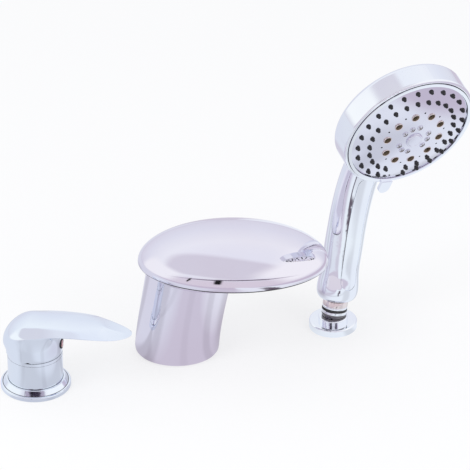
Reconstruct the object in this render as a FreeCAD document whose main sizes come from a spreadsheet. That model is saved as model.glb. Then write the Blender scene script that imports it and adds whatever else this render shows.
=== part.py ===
"""Three-hole bath mixer: a lever control, a waterfall spout and a hand shower on its deck holder.

Millimetres, +Z up. The origin is the centre of the spout's base, on the face of the deck.
+X runs from the control towards the hand shower, +Y points away from the person in the bath.

What moves: the lever turns about the control's axis for warmth and rocks on a pin for flow, and its
stem then pushes the cartridge's upper disc to and fro. The hand shower lifts out of its seat along
its own lean and turns there, and the tab turns the selector ring round the spray face.
"""
import FreeCAD, Part
import math
import os
import Sketcher

doc = FreeCAD.newDocument("BathMixer")

# Driving dimensions, each written once
SIZES = {
    # Where the stations stand on the deck, and the deck itself
    "control_east": -119.6, "control_north": -56.4,
    "guide_east": 135.8, "guide_north": 37.6,
    "deck_thickness": 20,
    "gap": 0.3,
    "running_gap": 0.05,
    # Clamping below the deck
    "washer_thickness": 2.5, "clamp_thickness": 3, "clamp_overhang": 9, "clamp_step": 1,
    "nut_height": 10, "nut_wall": 5, "thread_tail": 16,
    "seal_width": 2.6, "seal_depth": 1.2, "seal_edge": 2,
    # Control: flange, body and trim ring
    "lip_width": 2.1, "lip_height": 3.4, "lip_round": 1.1,
    "cone_run": 2.8, "cone_foot": 3.75,
    "ring_ledge": 1.6, "flange_height": 8, "ring_round": 0.8,
    "body_wall": 3.4, "body_top": 30.6, "shank_radius": 16.5,
    "trim_height": 2.9, "trim_wall": 2.6,
    "port_bore": 4, "port_thread": 4.5, "port_thread_depth": 12, "port_circle": 8.6,
    # Control: cartridge
    "cartridge_radius": 17.5, "cartridge_floor": 12, "cartridge_wall": 2.6,
    "base_thickness": 3, "disc_thickness": 2.6, "disc_hole": 2.8,
    "moving_radius": 10.5, "mixing_pocket": 1.4, "mixing_radius": 7.6,
    "carrier_height": 3, "carrier_slot": 5.4,
    "housing_top": 29.4, "housing_lid": 2.2,
    "oring_radius": 5.2, "oring_wire": 0.8,
    "sleeve_radius": 8, "sleeve_top": 32.5, "sleeve_foot": 24.3, "sleeve_collar": 2.5,
    "stem_side": 6, "stem_top": 47, "stem_block": 4, "stem_tip": 2.1, "tip_lift": 1.6,
    "pivot_height": 28.4, "pivot_radius": 1.5, "pin_length": 13.6,
    "cap_nut_wall": 2.6, "cap_nut_lid": 2.4, "cap_nut_bore": 12,
    # Control: lever
    "lever_heading": -10, "lever_reach": 84.3, "tail_overhang": 3.3, "leaf_overhang": 1.5, "lever_top": 65.5,
    "hub_wall": 3, "hub_cavity_top": 46, "hub_top": 54, "dome_level": 43,
    "boss_radius": 8.5, "socket_floor": 36.5, "plug_height": 42.4, "plug_radius": 4.2, "plug_depth": 2,
    "grub_radius": 2, "grub_length": 5, "key_radius": 0.9, "key_depth": 2,
    # Spout: column, dish, cover and outlet
    "base_long": 36.4, "base_short": 31.7, "base_round": 5,
    "column_lean": 14, "column_flare": 2, "water_bore": 9, "water_bore_east": 3.5,
    "cover_long": 81.5, "cover_short": 53, "cover_rise": 29.5, "cover_rim": 88, "cover_back": 33,
    "cover_wall": 2.6, "dish_inset": 4, "dish_drop": 13, "dish_wall": 4,
    "tray_thickness": 2.5, "tray_level": 84.5, "tray_inset": 4.6, "outlet_setback": 21,
    "outlet_width": 46, "tongue_reach": 6, "rise_slot": 5, "rise_slot_pitch": 15,
    "cover_screw_radius": 2, "cover_screw_head": 3.8, "screw_head_height": 2.4,
    "screw_key_radius": 1.2, "screw_key_depth": 1.4, "cover_thread": 10,
    "screw_forward": 30, "screw_north": 24, "cover_boss_radius": 5,
    "spout_shank_radius": 10.3, "spout_shank_bore": 7.5, "spout_shank_grip": 10,
    # Hand shower holder on the deck
    "guide_radius": 21, "guide_height": 6.6, "guide_round": 1.5,
    "ferrule_radius": 13, "ferrule_height": 4.2, "ferrule_foot": 11.8, "ferrule_round": 1,
    "tube_radius": 14, "tube_bore": 10.5, "tube_rise": 2,
    # Hand shower: lean of its seat, hose nut and handle
    "seat_lean": 12.3, "seat_heading": 54.9, "shower_turn": -114.8, "seat_height": 7,
    "nut_tip": 7.6, "nut_radius": 11, "nut_start": -3, "cone_end": 5.5, "nut_end": 19.3,
    "groove_height": 9, "groove_width": 1.6, "groove_depth": 0.9, "hose_bore": 5.5,
    "tail_radius": 8.2, "washer_floor": 7, "shower_washer": 1.8,
    "handle_start": 19.8, "handle_half_width": 17.5, "handle_half_depth": 16.5, "handle_bevel": 3.4,
    "handle_over": 2.2, "head_setback": 20, "waterway": 4.5, "waterway_length": 60,
    "panel_depth": 1.2, "panel_width": 15, "panel_start": 33, "panel_end": 139,
    # Hand shower: head
    "face_up": 197.8, "face_forward": 72, "face_tilt": 25.2,
    "head_radius": 60, "rim_depth": 19, "head_back": 15, "head_wall": 2.8, "head_round": 2.2,
    "selector_width": 2.7, "selector_depth": 3.3, "selector_proud": 1.2,
    "tab_width": 10.5, "tab_reach": 69, "tab_thickness": 3,
    "face_rise": 9, "face_thickness": 3, "face_rim": 2.4,
    "outer_margin": 4.9, "ring_spacing": 9.6, "jet_spacing": 13.7, "needle_offset": 3.3,
    "mist_circle": 13.7, "cap_radius": 7.4, "cap_thickness": 1.6,
    "nozzle_radius": 1.7, "nozzle_stand": 2, "jet_stand": 0.4, "jet_radius": 3.2, "jet_bore": 2.1,
    "needle_radius": 0.8, "mist_radius": 1.1,
    "nozzle_places": 24, "jet_count": 10,
    "plate_thickness": 2, "plate_depth": 8, "plate_inlet": 9,
}

sheet = doc.addObject("Spreadsheet::Sheet", "Sizes")
for row, (alias, value) in enumerate(SIZES.items(), start=1):
    sheet.set(f"A{row}", alias)
    sheet.set(f"B{row}", str(value))
    sheet.setAlias(f"B{row}", alias)
doc.recompute()


class Size:
    """A number together with the sheet formula that gives it."""

    def __init__(self, number, formula):
        self.number = number
        self.formula = formula

    def __add__(self, other):
        other = sized(other)
        return Size(self.number + other.number, f"({self.formula} + {other.formula})")

    def __sub__(self, other):
        other = sized(other)
        return Size(self.number - other.number, f"({self.formula} - {other.formula})")

    def __mul__(self, factor):
        factor = sized(factor)
        return Size(self.number * factor.number, f"({self.formula} * {factor.formula})")

    def __neg__(self):
        return Size(-self.number, f"(0 - {self.formula})")

    __radd__ = __add__
    __rmul__ = __mul__

    def __rsub__(self, other):
        return sized(other) - self


def sized(number):
    """Turns a plain number into a Size."""
    return number if isinstance(number, Size) else Size(float(number), repr(float(number)))


def size(alias):
    """The named size, as the sheet holds it."""
    return Size(float(sheet.get(alias)), f"Sizes.{alias}")


def number(alias):
    """The named size as a plain number."""
    return float(sheet.get(alias))


def bind(thing, **sizes):
    """Ties properties to the sheet. A name such as Placement__Base__x stands for Placement.Base.x."""
    for name, value in sizes.items():
        thing.setExpression(name.replace("__", "."), sized(value).formula)
    return thing


def lift(thing, z=0, x=0, y=0):
    """Moves a piece to a place that the sheet gives."""
    return bind(thing, Placement__Base__x=x, Placement__Base__y=y, Placement__Base__z=z)


counter = {"made": 0}


def add(kind):
    """A new document object with a running name."""
    counter["made"] += 1
    return doc.addObject(kind, f"Piece{counter['made']:03d}")


def cylinder(radius, height, z=0, x=0, y=0):
    return lift(bind(add("Part::Cylinder"), Radius=radius, Height=height), z, x, y)


def cone(lower, upper, height, z=0):
    return lift(bind(add("Part::Cone"), Radius1=lower, Radius2=upper, Height=height), z)


def block(length, width, height, z=0, x=0, y=0):
    """A box centred on x and y that stands on z."""
    box = bind(add("Part::Box"), Length=length, Width=width, Height=height)
    return lift(box, z, sized(x) - sized(length) * 0.5, sized(y) - sized(width) * 0.5)


def ellipsoid(long, short, rise, x, z):
    egg = bind(add("Part::Ellipsoid"), Radius1=rise, Radius2=long, Radius3=short)
    return lift(egg, z, x)


def torus(ring, wire, z=0, x=0, y=0):
    return lift(bind(add("Part::Torus"), Radius1=ring, Radius2=wire), z, x, y)


def fused(*pieces):
    whole = add("Part::MultiFuse")
    whole.Shapes = list(pieces)
    whole.Refine = True
    return whole


def less(base, *tools):
    """The base with the tools cut away."""
    for tool in tools:
        rest = add("Part::Cut")
        rest.Base = base
        rest.Tool = tool
        base = rest
    base.Refine = True
    return base


def common(first, second):
    both = add("Part::Common")
    both.Base = first
    both.Tool = second
    return both


def tube(outer, bore, height, z=0):
    """A ring with a round bore, with the cutter a little longer than the ring."""
    return less(cylinder(outer, height, z), cylinder(bore, sized(height) + 2, sized(z) - 1))


def round_edges(piece, radius, picks):
    """Rounds the edges for which picks(edge) is true."""
    doc.recompute()
    rounded = add("Part::Fillet")
    rounded.Base = piece
    numbers = [i for i, edge in enumerate(piece.Shape.Edges, start=1) if picks(edge)]
    amount = sized(radius).number
    rounded.Edges = [(i, amount, amount) for i in numbers]
    return rounded


def circle_at(z, radius):
    """Picks the full circles of this radius at this height."""
    def picks(edge):
        return (
            not edge.Degenerated
            and isinstance(edge.Curve, Part.Circle)
            and abs(edge.Curve.Radius - sized(radius).number) < 0.01
            and abs(edge.BoundBox.ZMin - sized(z).number) < 0.01
        )
    return picks


def plane_of(body, role):
    return next(part for part in body.Origin.OriginFeatures if part.Role == role)


def sketch_on(body, role, offset=0):
    """An empty sketch on one of the body's own origin planes, moved along its normal."""
    sketch = body.newObject("Sketcher::SketchObject", f"Sketch{counter['made']:03d}")
    counter["made"] += 1
    sketch.AttachmentSupport = [(plane_of(body, role), "")]
    sketch.MapMode = "FlatFace"
    bind(sketch, AttachmentOffset__Base__z=offset)
    return sketch


def corner_at(sketch, line, x, y):
    """Fixes the start of a line by two distances from the origin."""
    for kind, value in (("DistanceX", x), ("DistanceY", y)):
        held = sketch.addConstraint(Sketcher.Constraint(kind, -1, 1, line, 1, value.number))
        sketch.setExpression(f"Constraints[{held}]", value.formula)


def outline(sketch, corners):
    """Draws a closed outline whose every corner is tied to the sheet."""
    corners = [(sized(x), sized(y)) for x, y in corners]
    points = [FreeCAD.Vector(x.number, y.number, 0) for x, y in corners]
    for start, end in zip(points, points[1:] + points[:1]):
        sketch.addGeometry(Part.LineSegment(start, end))
    for i, (x, y) in enumerate(corners):
        sketch.addConstraint(Sketcher.Constraint("Coincident", i, 2, (i + 1) % len(corners), 1))
        corner_at(sketch, i, x, y)


def turned(corners):
    """A body turned about the Z axis from a half section given as radius and height."""
    body = add("PartDesign::Body")
    sketch = sketch_on(body, "XZ_Plane")
    outline(sketch, corners)
    spun = body.newObject("PartDesign::Revolution", f"Turn{counter['made']:03d}")
    spun.Profile = sketch
    spun.ReferenceAxis = (sketch, ["V_Axis"])
    spun.Angle = 360
    return body


def padded(draw, height):
    """A body padded up from the deck plane, from the outline that draw puts in the sketch."""
    body = add("PartDesign::Body")
    sketch = sketch_on(body, "XY_Plane")
    draw(sketch)
    pad = body.newObject("PartDesign::Pad", f"Pad{counter['made']:03d}")
    pad.Profile = sketch
    bind(pad, Length=height)
    return body


def hexagon(sketch, inner_radius):
    """Six corners whose flats stand off the centre by inner_radius."""
    corner = sized(inner_radius) * (1 / math.cos(math.radians(30)))
    corners = []
    for i in range(6):
        turn = math.radians(60 * i)
        corners.append((corner * round(math.cos(turn), 9), corner * round(math.sin(turn), 9)))
    outline(sketch, corners)


nodes = {}


def group(pieces):
    """Several solids that stay apart in one node."""
    together = add("Part::Compound")
    together.Links = pieces
    return together


def node(name, piece, place):
    """Names a finished piece, and sets where its station stands."""
    if piece.ExpressionEngine:
        piece = group([piece])
    piece.Label = name
    piece.Placement = place
    nodes[name] = piece
    return piece


def station(alias):
    """Where a station stands on the deck."""
    spot = FreeCAD.Vector(number(f"{alias}_east"), number(f"{alias}_north"), 0)
    return FreeCAD.Placement(spot, FreeCAD.Rotation())


def three_point(first, middle, last):
    """An arc through three points."""
    return Part.Arc(first, middle, last).toShape()


def free_form(shape):
    """A piece whose shape comes from sections that the sheet and a few outlines give."""
    piece = add("Part::Feature")
    piece.Shape = shape
    return piece


# Control, in its own frame with the lever's axis on Z
GAP = size("gap")
RUN = size("running_gap")
control = station("control")


def deck_clamp(name, shank, place):
    """Washer, clamp ring and nut that draw a station down on the deck from below."""
    bore = shank + RUN
    top = -size("deck_thickness")
    clamp_top = top - size("washer_thickness")
    nut_top = clamp_top - size("clamp_thickness")
    outer = shank + size("clamp_overhang")
    node(f"{name}_washer", tube(outer, bore, size("washer_thickness"), clamp_top), place)
    ring = tube(outer - size("clamp_step"), bore, size("clamp_thickness"), nut_top)
    node(f"{name}_clamp_ring", ring, place)
    flats = shank + size("nut_wall")
    blank = padded(lambda sketch: hexagon(sketch, flats), size("nut_height"))
    lift(blank, nut_top - size("nut_height"))
    cutter = cylinder(bore, size("nut_height") + 2, nut_top - size("nut_height") - 1)
    node(f"{name}_nut", less(blank, cutter), place)


def deck_seal(name, outer, place):
    """Rubber ring in the groove under a flange, flush with the deck."""
    edge = outer - size("seal_edge")
    node(name, tube(edge, edge - size("seal_width"), size("seal_depth")), place)


def seal_groove(outer):
    """Cutter for the groove that takes the rubber ring."""
    edge = outer - size("seal_edge") + GAP
    return tube(edge, edge - size("seal_width") - GAP * 2, size("seal_depth") + GAP + 1, -1)


def tail_length():
    """How far a shank reaches below the deck face."""
    below = size("deck_thickness") + size("washer_thickness") + size("clamp_thickness")
    return below + size("nut_height") + size("thread_tail")


thread_radius = size("cartridge_radius") + size("cap_nut_wall")
body_radius = thread_radius + size("body_wall")
ring_radius = body_radius + size("ring_ledge")
cone_radius = ring_radius + size("cone_run")
flange_radius = cone_radius + size("lip_width")
lip_height = size("lip_height")
flange_height = size("flange_height")
shank_radius = size("shank_radius")
flange = turned([
    (shank_radius + RUN, 0), (flange_radius, 0), (flange_radius, lip_height),
    (cone_radius, size("cone_foot")), (ring_radius, flange_height),
    (shank_radius + RUN, flange_height),
])
flange = round_edges(flange, size("lip_round"), circle_at(lip_height, flange_radius))
flange = round_edges(flange, size("ring_round"), circle_at(flange_height, ring_radius))
node("control_flange", less(flange, seal_groove(flange_radius)), control)
deck_seal("control_flange_seal", flange_radius, control)

# The valve body: shoulder on the flange, threaded shank through the deck, cartridge cavity above
body_top = size("body_top")
cavity_floor = size("cartridge_floor")
cavity_radius = size("cartridge_radius") + RUN
housing_top = size("housing_top")
thread_floor = housing_top - size("cap_nut_wall") * 2
blank = turned([
    (0, -tail_length()), (shank_radius, -tail_length()), (shank_radius, flange_height),
    (body_radius, flange_height), (body_radius, body_top), (thread_radius + RUN, body_top),
    (thread_radius + RUN, thread_floor), (cavity_radius, thread_floor),
    (cavity_radius, cavity_floor), (0, cavity_floor),
])
port_angles = {"hot": 150, "cold": 30, "mixed": 270}


def at_angle(angle, radius):
    """X and Y of a point on a circle, as sizes."""
    turn = math.radians(angle)
    return sized(radius) * round(math.cos(turn), 9), sized(radius) * round(math.sin(turn), 9)


def bores(radius, height, z):
    """One cutter at each of the three ports."""
    made = []
    for angle in port_angles.values():
        x, y = at_angle(angle, size("port_circle"))
        made.append(cylinder(radius, height, z, x, y))
    return made


port_run = bores(size("port_bore"), tail_length() + cavity_floor + 2, -tail_length() - 1)
port_taps = bores(size("port_thread"), size("port_thread_depth") + 1, -tail_length() - 1)
node("control_body", less(blank, *port_run, *port_taps), control)
deck_clamp("control", shank_radius, control)

trim_bore = body_radius - size("trim_wall")
trim = tube(body_radius, trim_bore, size("trim_height"), body_top)
node("trim_ring", trim, control)

# Cartridge, from its base up
base_top = cavity_floor + size("base_thickness")
disc_top = base_top + size("disc_thickness")
moving_top = disc_top + size("disc_thickness")
inner_radius = size("cartridge_radius") - size("cartridge_wall")
seats = []
rings = []
for angle in port_angles.values():
    x, y = at_angle(angle, size("port_circle"))
    ring_height = cavity_floor + size("oring_wire")
    seats.append(torus(size("oring_radius"), size("oring_wire") + RUN, ring_height, x, y))
    rings.append(torus(size("oring_radius"), size("oring_wire"), ring_height, x, y))
base_holes = bores(size("disc_hole"), size("base_thickness") + 2, cavity_floor - 1)
base = cylinder(size("cartridge_radius"), size("base_thickness"), cavity_floor)
node("cartridge_base", less(base, *base_holes, *seats), control)
node("cartridge_seals", group(rings), control)
disc_holes = bores(size("disc_hole"), size("disc_thickness") + 2, base_top - 1)
disc = cylinder(inner_radius - RUN, size("disc_thickness"), base_top)
node("fixed_disc", less(disc, *disc_holes), control)
pocket = cylinder(size("mixing_radius"), size("mixing_pocket") + 1, disc_top - 1)
slider = cylinder(size("moving_radius"), size("disc_thickness"), disc_top)
slot = block(size("carrier_slot"), size("carrier_slot"), size("carrier_height") + 1, moving_top + 1)
carrier = cylinder(size("moving_radius"), size("carrier_height"), moving_top)

lever_angle = FreeCAD.Rotation(FreeCAD.Vector(0, 0, 1), number("lever_heading"))
lever_place = FreeCAD.Placement(control.Base, lever_angle)
node("moving_disc", less(slider, pocket), lever_place)
node("disc_carrier", less(carrier, slot), lever_place)

housing = turned([
    (inner_radius, base_top), (size("cartridge_radius"), base_top),
    (size("cartridge_radius"), housing_top), (size("sleeve_radius") + RUN, housing_top),
    (size("sleeve_radius") + RUN, housing_top - size("housing_lid")),
    (inner_radius, housing_top - size("housing_lid")),
])
node("cartridge_housing", housing, control)

cap_top = housing_top + size("cap_nut_lid")
cap = turned([
    (size("cap_nut_bore"), housing_top), (size("cartridge_radius") + RUN, housing_top),
    (size("cartridge_radius") + RUN, thread_floor), (thread_radius, thread_floor),
    (thread_radius, cap_top), (size("cap_nut_bore"), cap_top),
])
node("cartridge_nut", cap, control)

# Turning sleeve, rocking stem and the pin it rocks on
stem_side = size("stem_side")
pivot_height = size("pivot_height")
sleeve_foot = size("sleeve_foot")
sleeve_top = size("sleeve_top")
sleeve_radius = size("sleeve_radius")
slot_cut = block(size("cap_nut_bore"), stem_side + RUN * 2, sleeve_top - sleeve_foot + 2, sleeve_foot - 1)


def cross_pin(radius, length):
    """A cylinder along Y through the pivot."""
    pin = bind(add("Part::Cylinder"), Radius=radius, Height=length)
    pin.Placement.Rotation = FreeCAD.Rotation(FreeCAD.Vector(1, 0, 0), -90)
    return lift(pin, pivot_height, 0, -(sized(length) * 0.5))


collar_foot = housing_top - size("housing_lid") - GAP
sleeve = fused(
    cylinder(sleeve_radius, sleeve_top - sleeve_foot, sleeve_foot),
    cylinder(sleeve_radius + size("sleeve_collar"), collar_foot - sleeve_foot, sleeve_foot),
)
pin_length = size("pin_length")
node("turning_sleeve", less(sleeve, slot_cut, cross_pin(size("pivot_radius"), pin_length)), lever_place)
node("pivot_pin", cross_pin(size("pivot_radius"), pin_length), lever_place)
tip_foot = moving_top + size("tip_lift")
block_foot = pivot_height - size("stem_block")
stem = fused(
    block(stem_side, stem_side, size("stem_top") - block_foot, block_foot),
    cylinder(size("stem_tip"), block_foot - tip_foot + 1, tip_foot),
)
node("lever_stem", less(stem, cross_pin(size("pivot_radius") + RUN, stem_side + 2)), lever_place)


# Lever: a leaf of changing width over a hub that goes on from the body
hub_foot = body_top + size("trim_height") + GAP
overhang = size("tail_overhang")
lever_tail = body_radius + overhang
lever_half = body_radius + size("leaf_overhang")

# Share of the reach (or, behind the axis, of the tail), share of the half width, then the shares of
# the leaf's height over the hub's foot for its crown, its edge and its underside
LEAF = [
    (-0.750, 0.30, 0.62, 0.50, 0.40), (-0.450, 0.72, 0.88, 0.62, 0.45), (0.000, 1.00, 0.985, 0.70, 0.45),
    (0.180, 0.98, 1.00, 0.74, 0.52), (0.360, 0.90, 0.995, 0.75, 0.62), (0.535, 0.80, 0.96, 0.72, 0.635),
    (0.715, 0.67, 0.885, 0.68, 0.62), (0.860, 0.51, 0.79, 0.65, 0.605), (0.950, 0.32, 0.73, 0.645, 0.61),
    (1.000, 0.12, 0.69, 0.65, 0.63),
]


def leaf_section(share, width, crown, edge, under):
    """One closed section of the leaf, from an arc over it and an arc under it."""
    x = share * (number("lever_reach") if share > 0 else lever_tail.number)
    half = width * lever_half.number
    foot = hub_foot.number
    rise = number("lever_top") - foot
    left = FreeCAD.Vector(x, -half, foot + edge * rise)
    right = FreeCAD.Vector(x, half, foot + edge * rise)
    over = three_point(left, FreeCAD.Vector(x, 0, foot + crown * rise), right)
    below = three_point(right, FreeCAD.Vector(x, 0, foot + under * rise), left)
    return Part.Wire([over, below])


leaf = free_form(Part.makeLoft([leaf_section(*row) for row in LEAF], True, False))
hub = cylinder(body_radius, size("hub_top") - hub_foot, hub_foot)
dome_level = size("dome_level")
hub_dome = ellipsoid(body_radius + overhang * 0.25, body_radius, size("lever_top") - dome_level,
                     overhang * -0.75, dome_level)
above_seam = block(body_radius * 4, body_radius * 4, body_radius * 2, hub_foot)
hub_dome = common(hub_dome, above_seam)

# Behind the axis the hub is hollowed as a ball about the pivot, so that it dips past the body when lifted
hub_ball = add("Part::Sphere")
drop = hub_foot - pivot_height
corner_reach = f"sqrt(pow({body_radius.formula}; 2) + pow({drop.formula}; 2))"
hub_ball.setExpression("Radius", f"{corner_reach} + {GAP.formula}")
lift(hub_ball, pivot_height)
cavity_top = size("hub_cavity_top")
cavity_radius_hub = body_radius - size("hub_wall")
rear_half = block(body_radius * 4, body_radius * 4, cavity_top - pivot_height, pivot_height, body_radius * -2)
rear_cavity = common(hub_ball, rear_half)
front_cavity = cylinder(cavity_radius_hub, cavity_top - hub_foot + 1, hub_foot - 1)
boss = cylinder(size("boss_radius"), size("hub_top") - size("socket_floor"), size("socket_floor"))
socket_side = stem_side + RUN * 2
socket = block(socket_side, socket_side, size("stem_top") + GAP - size("socket_floor") + 1,
               size("socket_floor") - 1)


def along_arm(radius, length, start, height):
    """A cylinder that lies along the arm."""
    rod = bind(add("Part::Cylinder"), Radius=radius, Height=length)
    rod.Placement.Rotation = FreeCAD.Rotation(FreeCAD.Vector(0, 1, 0), 90)
    return lift(rod, height, start)


plug_height = size("plug_height")
plug_start = body_radius - size("plug_depth")
grub_start = stem_side * 0.5 + RUN
hollowed = less(fused(leaf, hub, hub_dome), rear_cavity, front_cavity)
handle = fused(hollowed, boss)
grub_hole = along_arm(size("grub_radius") + RUN, body_radius, stem_side * 0.5, plug_height)
plug_hole = along_arm(size("plug_radius") + RUN, body_radius, cavity_radius_hub - 1, plug_height)
node("lever_handle", less(handle, socket, grub_hole, plug_hole), lever_place)
grub = along_arm(size("grub_radius"), size("grub_length"), grub_start, plug_height)
key_start = grub_start + size("grub_length") - size("key_depth")
key = along_arm(size("key_radius"), size("grub_length"), key_start, plug_height)
node("grub_screw", less(grub, key), lever_place)
plug = along_arm(size("plug_radius"), size("plug_depth") + 1, plug_start, plug_height)
node("index_plug", plug, lever_place)


# Spout: an oval column that leans towards the bath, with an open dish on top
deck = FreeCAD.Placement()
cover_rim = size("cover_rim")
cover_long = size("cover_long")
cover_offset = cover_long - size("cover_back")
cover_short = size("cover_short")
dish_long = cover_long - size("outlet_setback")
dish_short = cover_short - size("dish_inset")
dish_offset = cover_offset - (size("outlet_setback") - size("dish_inset"))


def oval(long, short, x, z):
    ring = bind(add("Part::Ellipse"), MajorRadius=long, MinorRadius=short)
    return lift(ring, z, x)


def lofted(*sections):
    stack = add("Part::Loft")
    stack.Sections = list(sections)
    stack.Solid = True
    return stack


base_long = size("base_long")
base_short = size("base_short")
base_round = size("base_round")
lean = size("column_lean")
flare = size("column_flare")
dish_top = cover_rim - GAP
COLUMN_STEPS = 5
LEAN_POWER = 1.3
FLARE_POWER = 3


def column_oval(share):
    """One level of the column, from the top of its rounded foot to the dish's rim."""
    grown = flare * share ** FLARE_POWER
    return oval(base_long + grown, base_short + grown, lean * share ** LEAN_POWER,
                base_round + (dish_top - base_round) * share)


# The rounded foot: share of its height, and how far that level is drawn in, as a share of the rounding
foot_levels = [(0, 0.6), (0.12, 0.28), (0.4, 0.09), (1, 0)]
foot = lofted(*[
    oval(base_long - base_round * drawn_in, base_short - base_round * drawn_in, 0, base_round * share)
    for share, drawn_in in foot_levels
])
foot.Ruled = True
column = fused(foot, lofted(*[column_oval(i / (COLUMN_STEPS - 1)) for i in range(COLUMN_STEPS)]))
dish_egg = ellipsoid(dish_long, dish_short, size("dish_drop"), dish_offset, dish_top)
below_rim = block(cover_long * 4, cover_long * 4, size("dish_drop") * 2, dish_top - size("dish_drop") * 2)
dish = common(dish_egg, below_rim)
dish_wall = size("dish_wall")
basin_egg = ellipsoid(dish_long - dish_wall, dish_short - dish_wall, size("dish_drop") - dish_wall,
                      dish_offset, dish_top)
# Two pillars in the dish carry the tray, and the screws that hold the cover pass up through them
screw_east = dish_offset + size("screw_forward")
screw_sides = (size("screw_north"), -size("screw_north"))
screw_radius = size("cover_screw_radius")
tray_level = size("tray_level")
tray_top = tray_level + size("tray_thickness")
boss_radius = size("cover_boss_radius")
pillar_foot = dish_top - size("dish_drop")


def at_screws(radius, height, z):
    """The same cylinder at each of the cover's screws."""
    return [cylinder(radius, height, z, screw_east, north) for north in screw_sides]


screw_seat = tray_level - size("dish_wall")
pillars = at_screws(boss_radius, tray_level - screw_seat, screw_seat)
rise_bore = cylinder(size("water_bore"), dish_top, size("spout_shank_grip"), size("water_bore_east"))
shank_hole = cylinder(size("spout_shank_radius") + RUN, size("spout_shank_grip") + 1, -1)
outlet_width = size("outlet_width")
outlet_notch = block(dish_long, outlet_width, size("dish_drop"), tray_level - GAP, dish_offset + dish_long)
basin = less(fused(column, dish), basin_egg)
casting = less(
    fused(basin, *pillars), rise_bore, shank_hole, outlet_notch, seal_groove(base_short - base_round),
    *at_screws(screw_radius + RUN, size("dish_drop") * 2, pillar_foot),
    *at_screws(size("cover_screw_head") + GAP, screw_seat - pillar_foot + 1, pillar_foot - 1),
)
node("spout_body", casting, deck)
deck_seal("spout_seal", base_short - base_round, deck)

tray_long = dish_long - dish_wall - size("tray_inset")
tray_short = dish_short - dish_wall - size("tray_inset")
tray_face = lofted(oval(tray_long, tray_short, dish_offset, tray_level),
                   oval(tray_long, tray_short, dish_offset, tray_top))
tongue_end = dish_offset + dish_long + size("tongue_reach")
tongue_width = outlet_width - GAP * 4
tongue_length = dish_long * 0.5
tongue_middle = tongue_end - tongue_length * 0.5
tongue = block(tongue_length, tongue_width, size("tray_thickness"), tray_level, tongue_middle)
RISE_SLOTS = 3
rise_slots = [
    block(size("rise_slot"), tray_short, size("tray_thickness") + 2, tray_level - 1,
          dish_offset - tray_long * 0.35 + size("rise_slot_pitch") * i)
    for i in range(RISE_SLOTS)
]
tray_holes = at_screws(screw_radius + RUN, size("tray_thickness") + 2, tray_level - 1)
node("spout_tray", less(fused(tray_face, tongue), *rise_slots, *tray_holes), deck)

# Cover: the upper half of an egg, hollow, with a boss over each screw
cover_wall = size("cover_wall")
cover_rise = size("cover_rise")
cover_egg = ellipsoid(cover_long, cover_short, cover_rise, cover_offset, cover_rim)
cover_core = ellipsoid(cover_long - cover_wall, cover_short - cover_wall, cover_rise - cover_wall,
                       cover_offset, cover_rim)
above_rim = block(cover_long * 4, cover_long * 4, cover_rise * 2, cover_rim)
dome = common(less(cover_egg, cover_core), above_rim)
above_tray = [common(cover_egg, boss) for boss in at_screws(boss_radius, cover_rise, tray_top)]
thread_depth = size("cover_thread")
taps = at_screws(screw_radius, tray_top + thread_depth - tray_level, tray_level)
node("spout_cover", less(fused(dome, *above_tray), *taps), deck)
screws = []
head_height = size("screw_head_height")
key_depth = size("screw_key_depth")
for north in screw_sides:
    shaft = cylinder(screw_radius, tray_top + thread_depth - screw_seat, screw_seat, screw_east, north)
    head = cylinder(size("cover_screw_head"), head_height, screw_seat - head_height, screw_east, north)
    key_top = screw_seat - head_height + key_depth
    recess = cylinder(size("screw_key_radius"), head_height, key_top - head_height, screw_east, north)
    screws.append(less(fused(shaft, head), recess))
node("cover_screws", group(screws), deck)
spout_shank_length = tail_length() + size("spout_shank_grip")
spout_shank = tube(size("spout_shank_radius"), size("spout_shank_bore"), spout_shank_length, -tail_length())
node("spout_shank", spout_shank, deck)
deck_clamp("spout", size("spout_shank_radius"), deck)


# Hand shower holder: a low disc on the deck, a leaning conical seat in it and a tube for the hose
guide = station("guide")
guide_radius = size("guide_radius")
guide_height = size("guide_height")
tube_rise = size("tube_rise")
foot_radius = size("ferrule_foot")
disc_blank = cylinder(guide_radius, guide_height)
disc_blank = round_edges(disc_blank, size("guide_round"), circle_at(guide_height, guide_radius))
guide_bore = cylinder(foot_radius + RUN, guide_height + 2, -1)
tube_seat = cylinder(size("tube_radius") + RUN, tube_rise + 1, -1)
node("guide_flange", less(disc_blank, guide_bore, tube_seat, seal_groove(guide_radius)), guide)
deck_seal("guide_seal", guide_radius, guide)
guide_tube = tube(size("tube_radius"), size("tube_bore"), tail_length() + tube_rise, -tail_length())
node("guide_tube", guide_tube, guide)
deck_clamp("guide", size("tube_radius"), guide)

# The lean of the hand shower: its own frame has Z along the handle and X towards the spray
lean_turn = FreeCAD.Rotation(FreeCAD.Vector(0, 0, 1), number("seat_heading"))
lean_tilt = FreeCAD.Rotation(FreeCAD.Vector(0, 1, 0), number("seat_lean"))
own_turn = FreeCAD.Rotation(FreeCAD.Vector(0, 0, 1), number("shower_turn"))
seat_point = FreeCAD.Vector(0, 0, number("seat_height"))
leaning = FreeCAD.Placement(seat_point, lean_turn * lean_tilt)
shower = guide * leaning * FreeCAD.Placement(FreeCAD.Vector(), own_turn)

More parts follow.
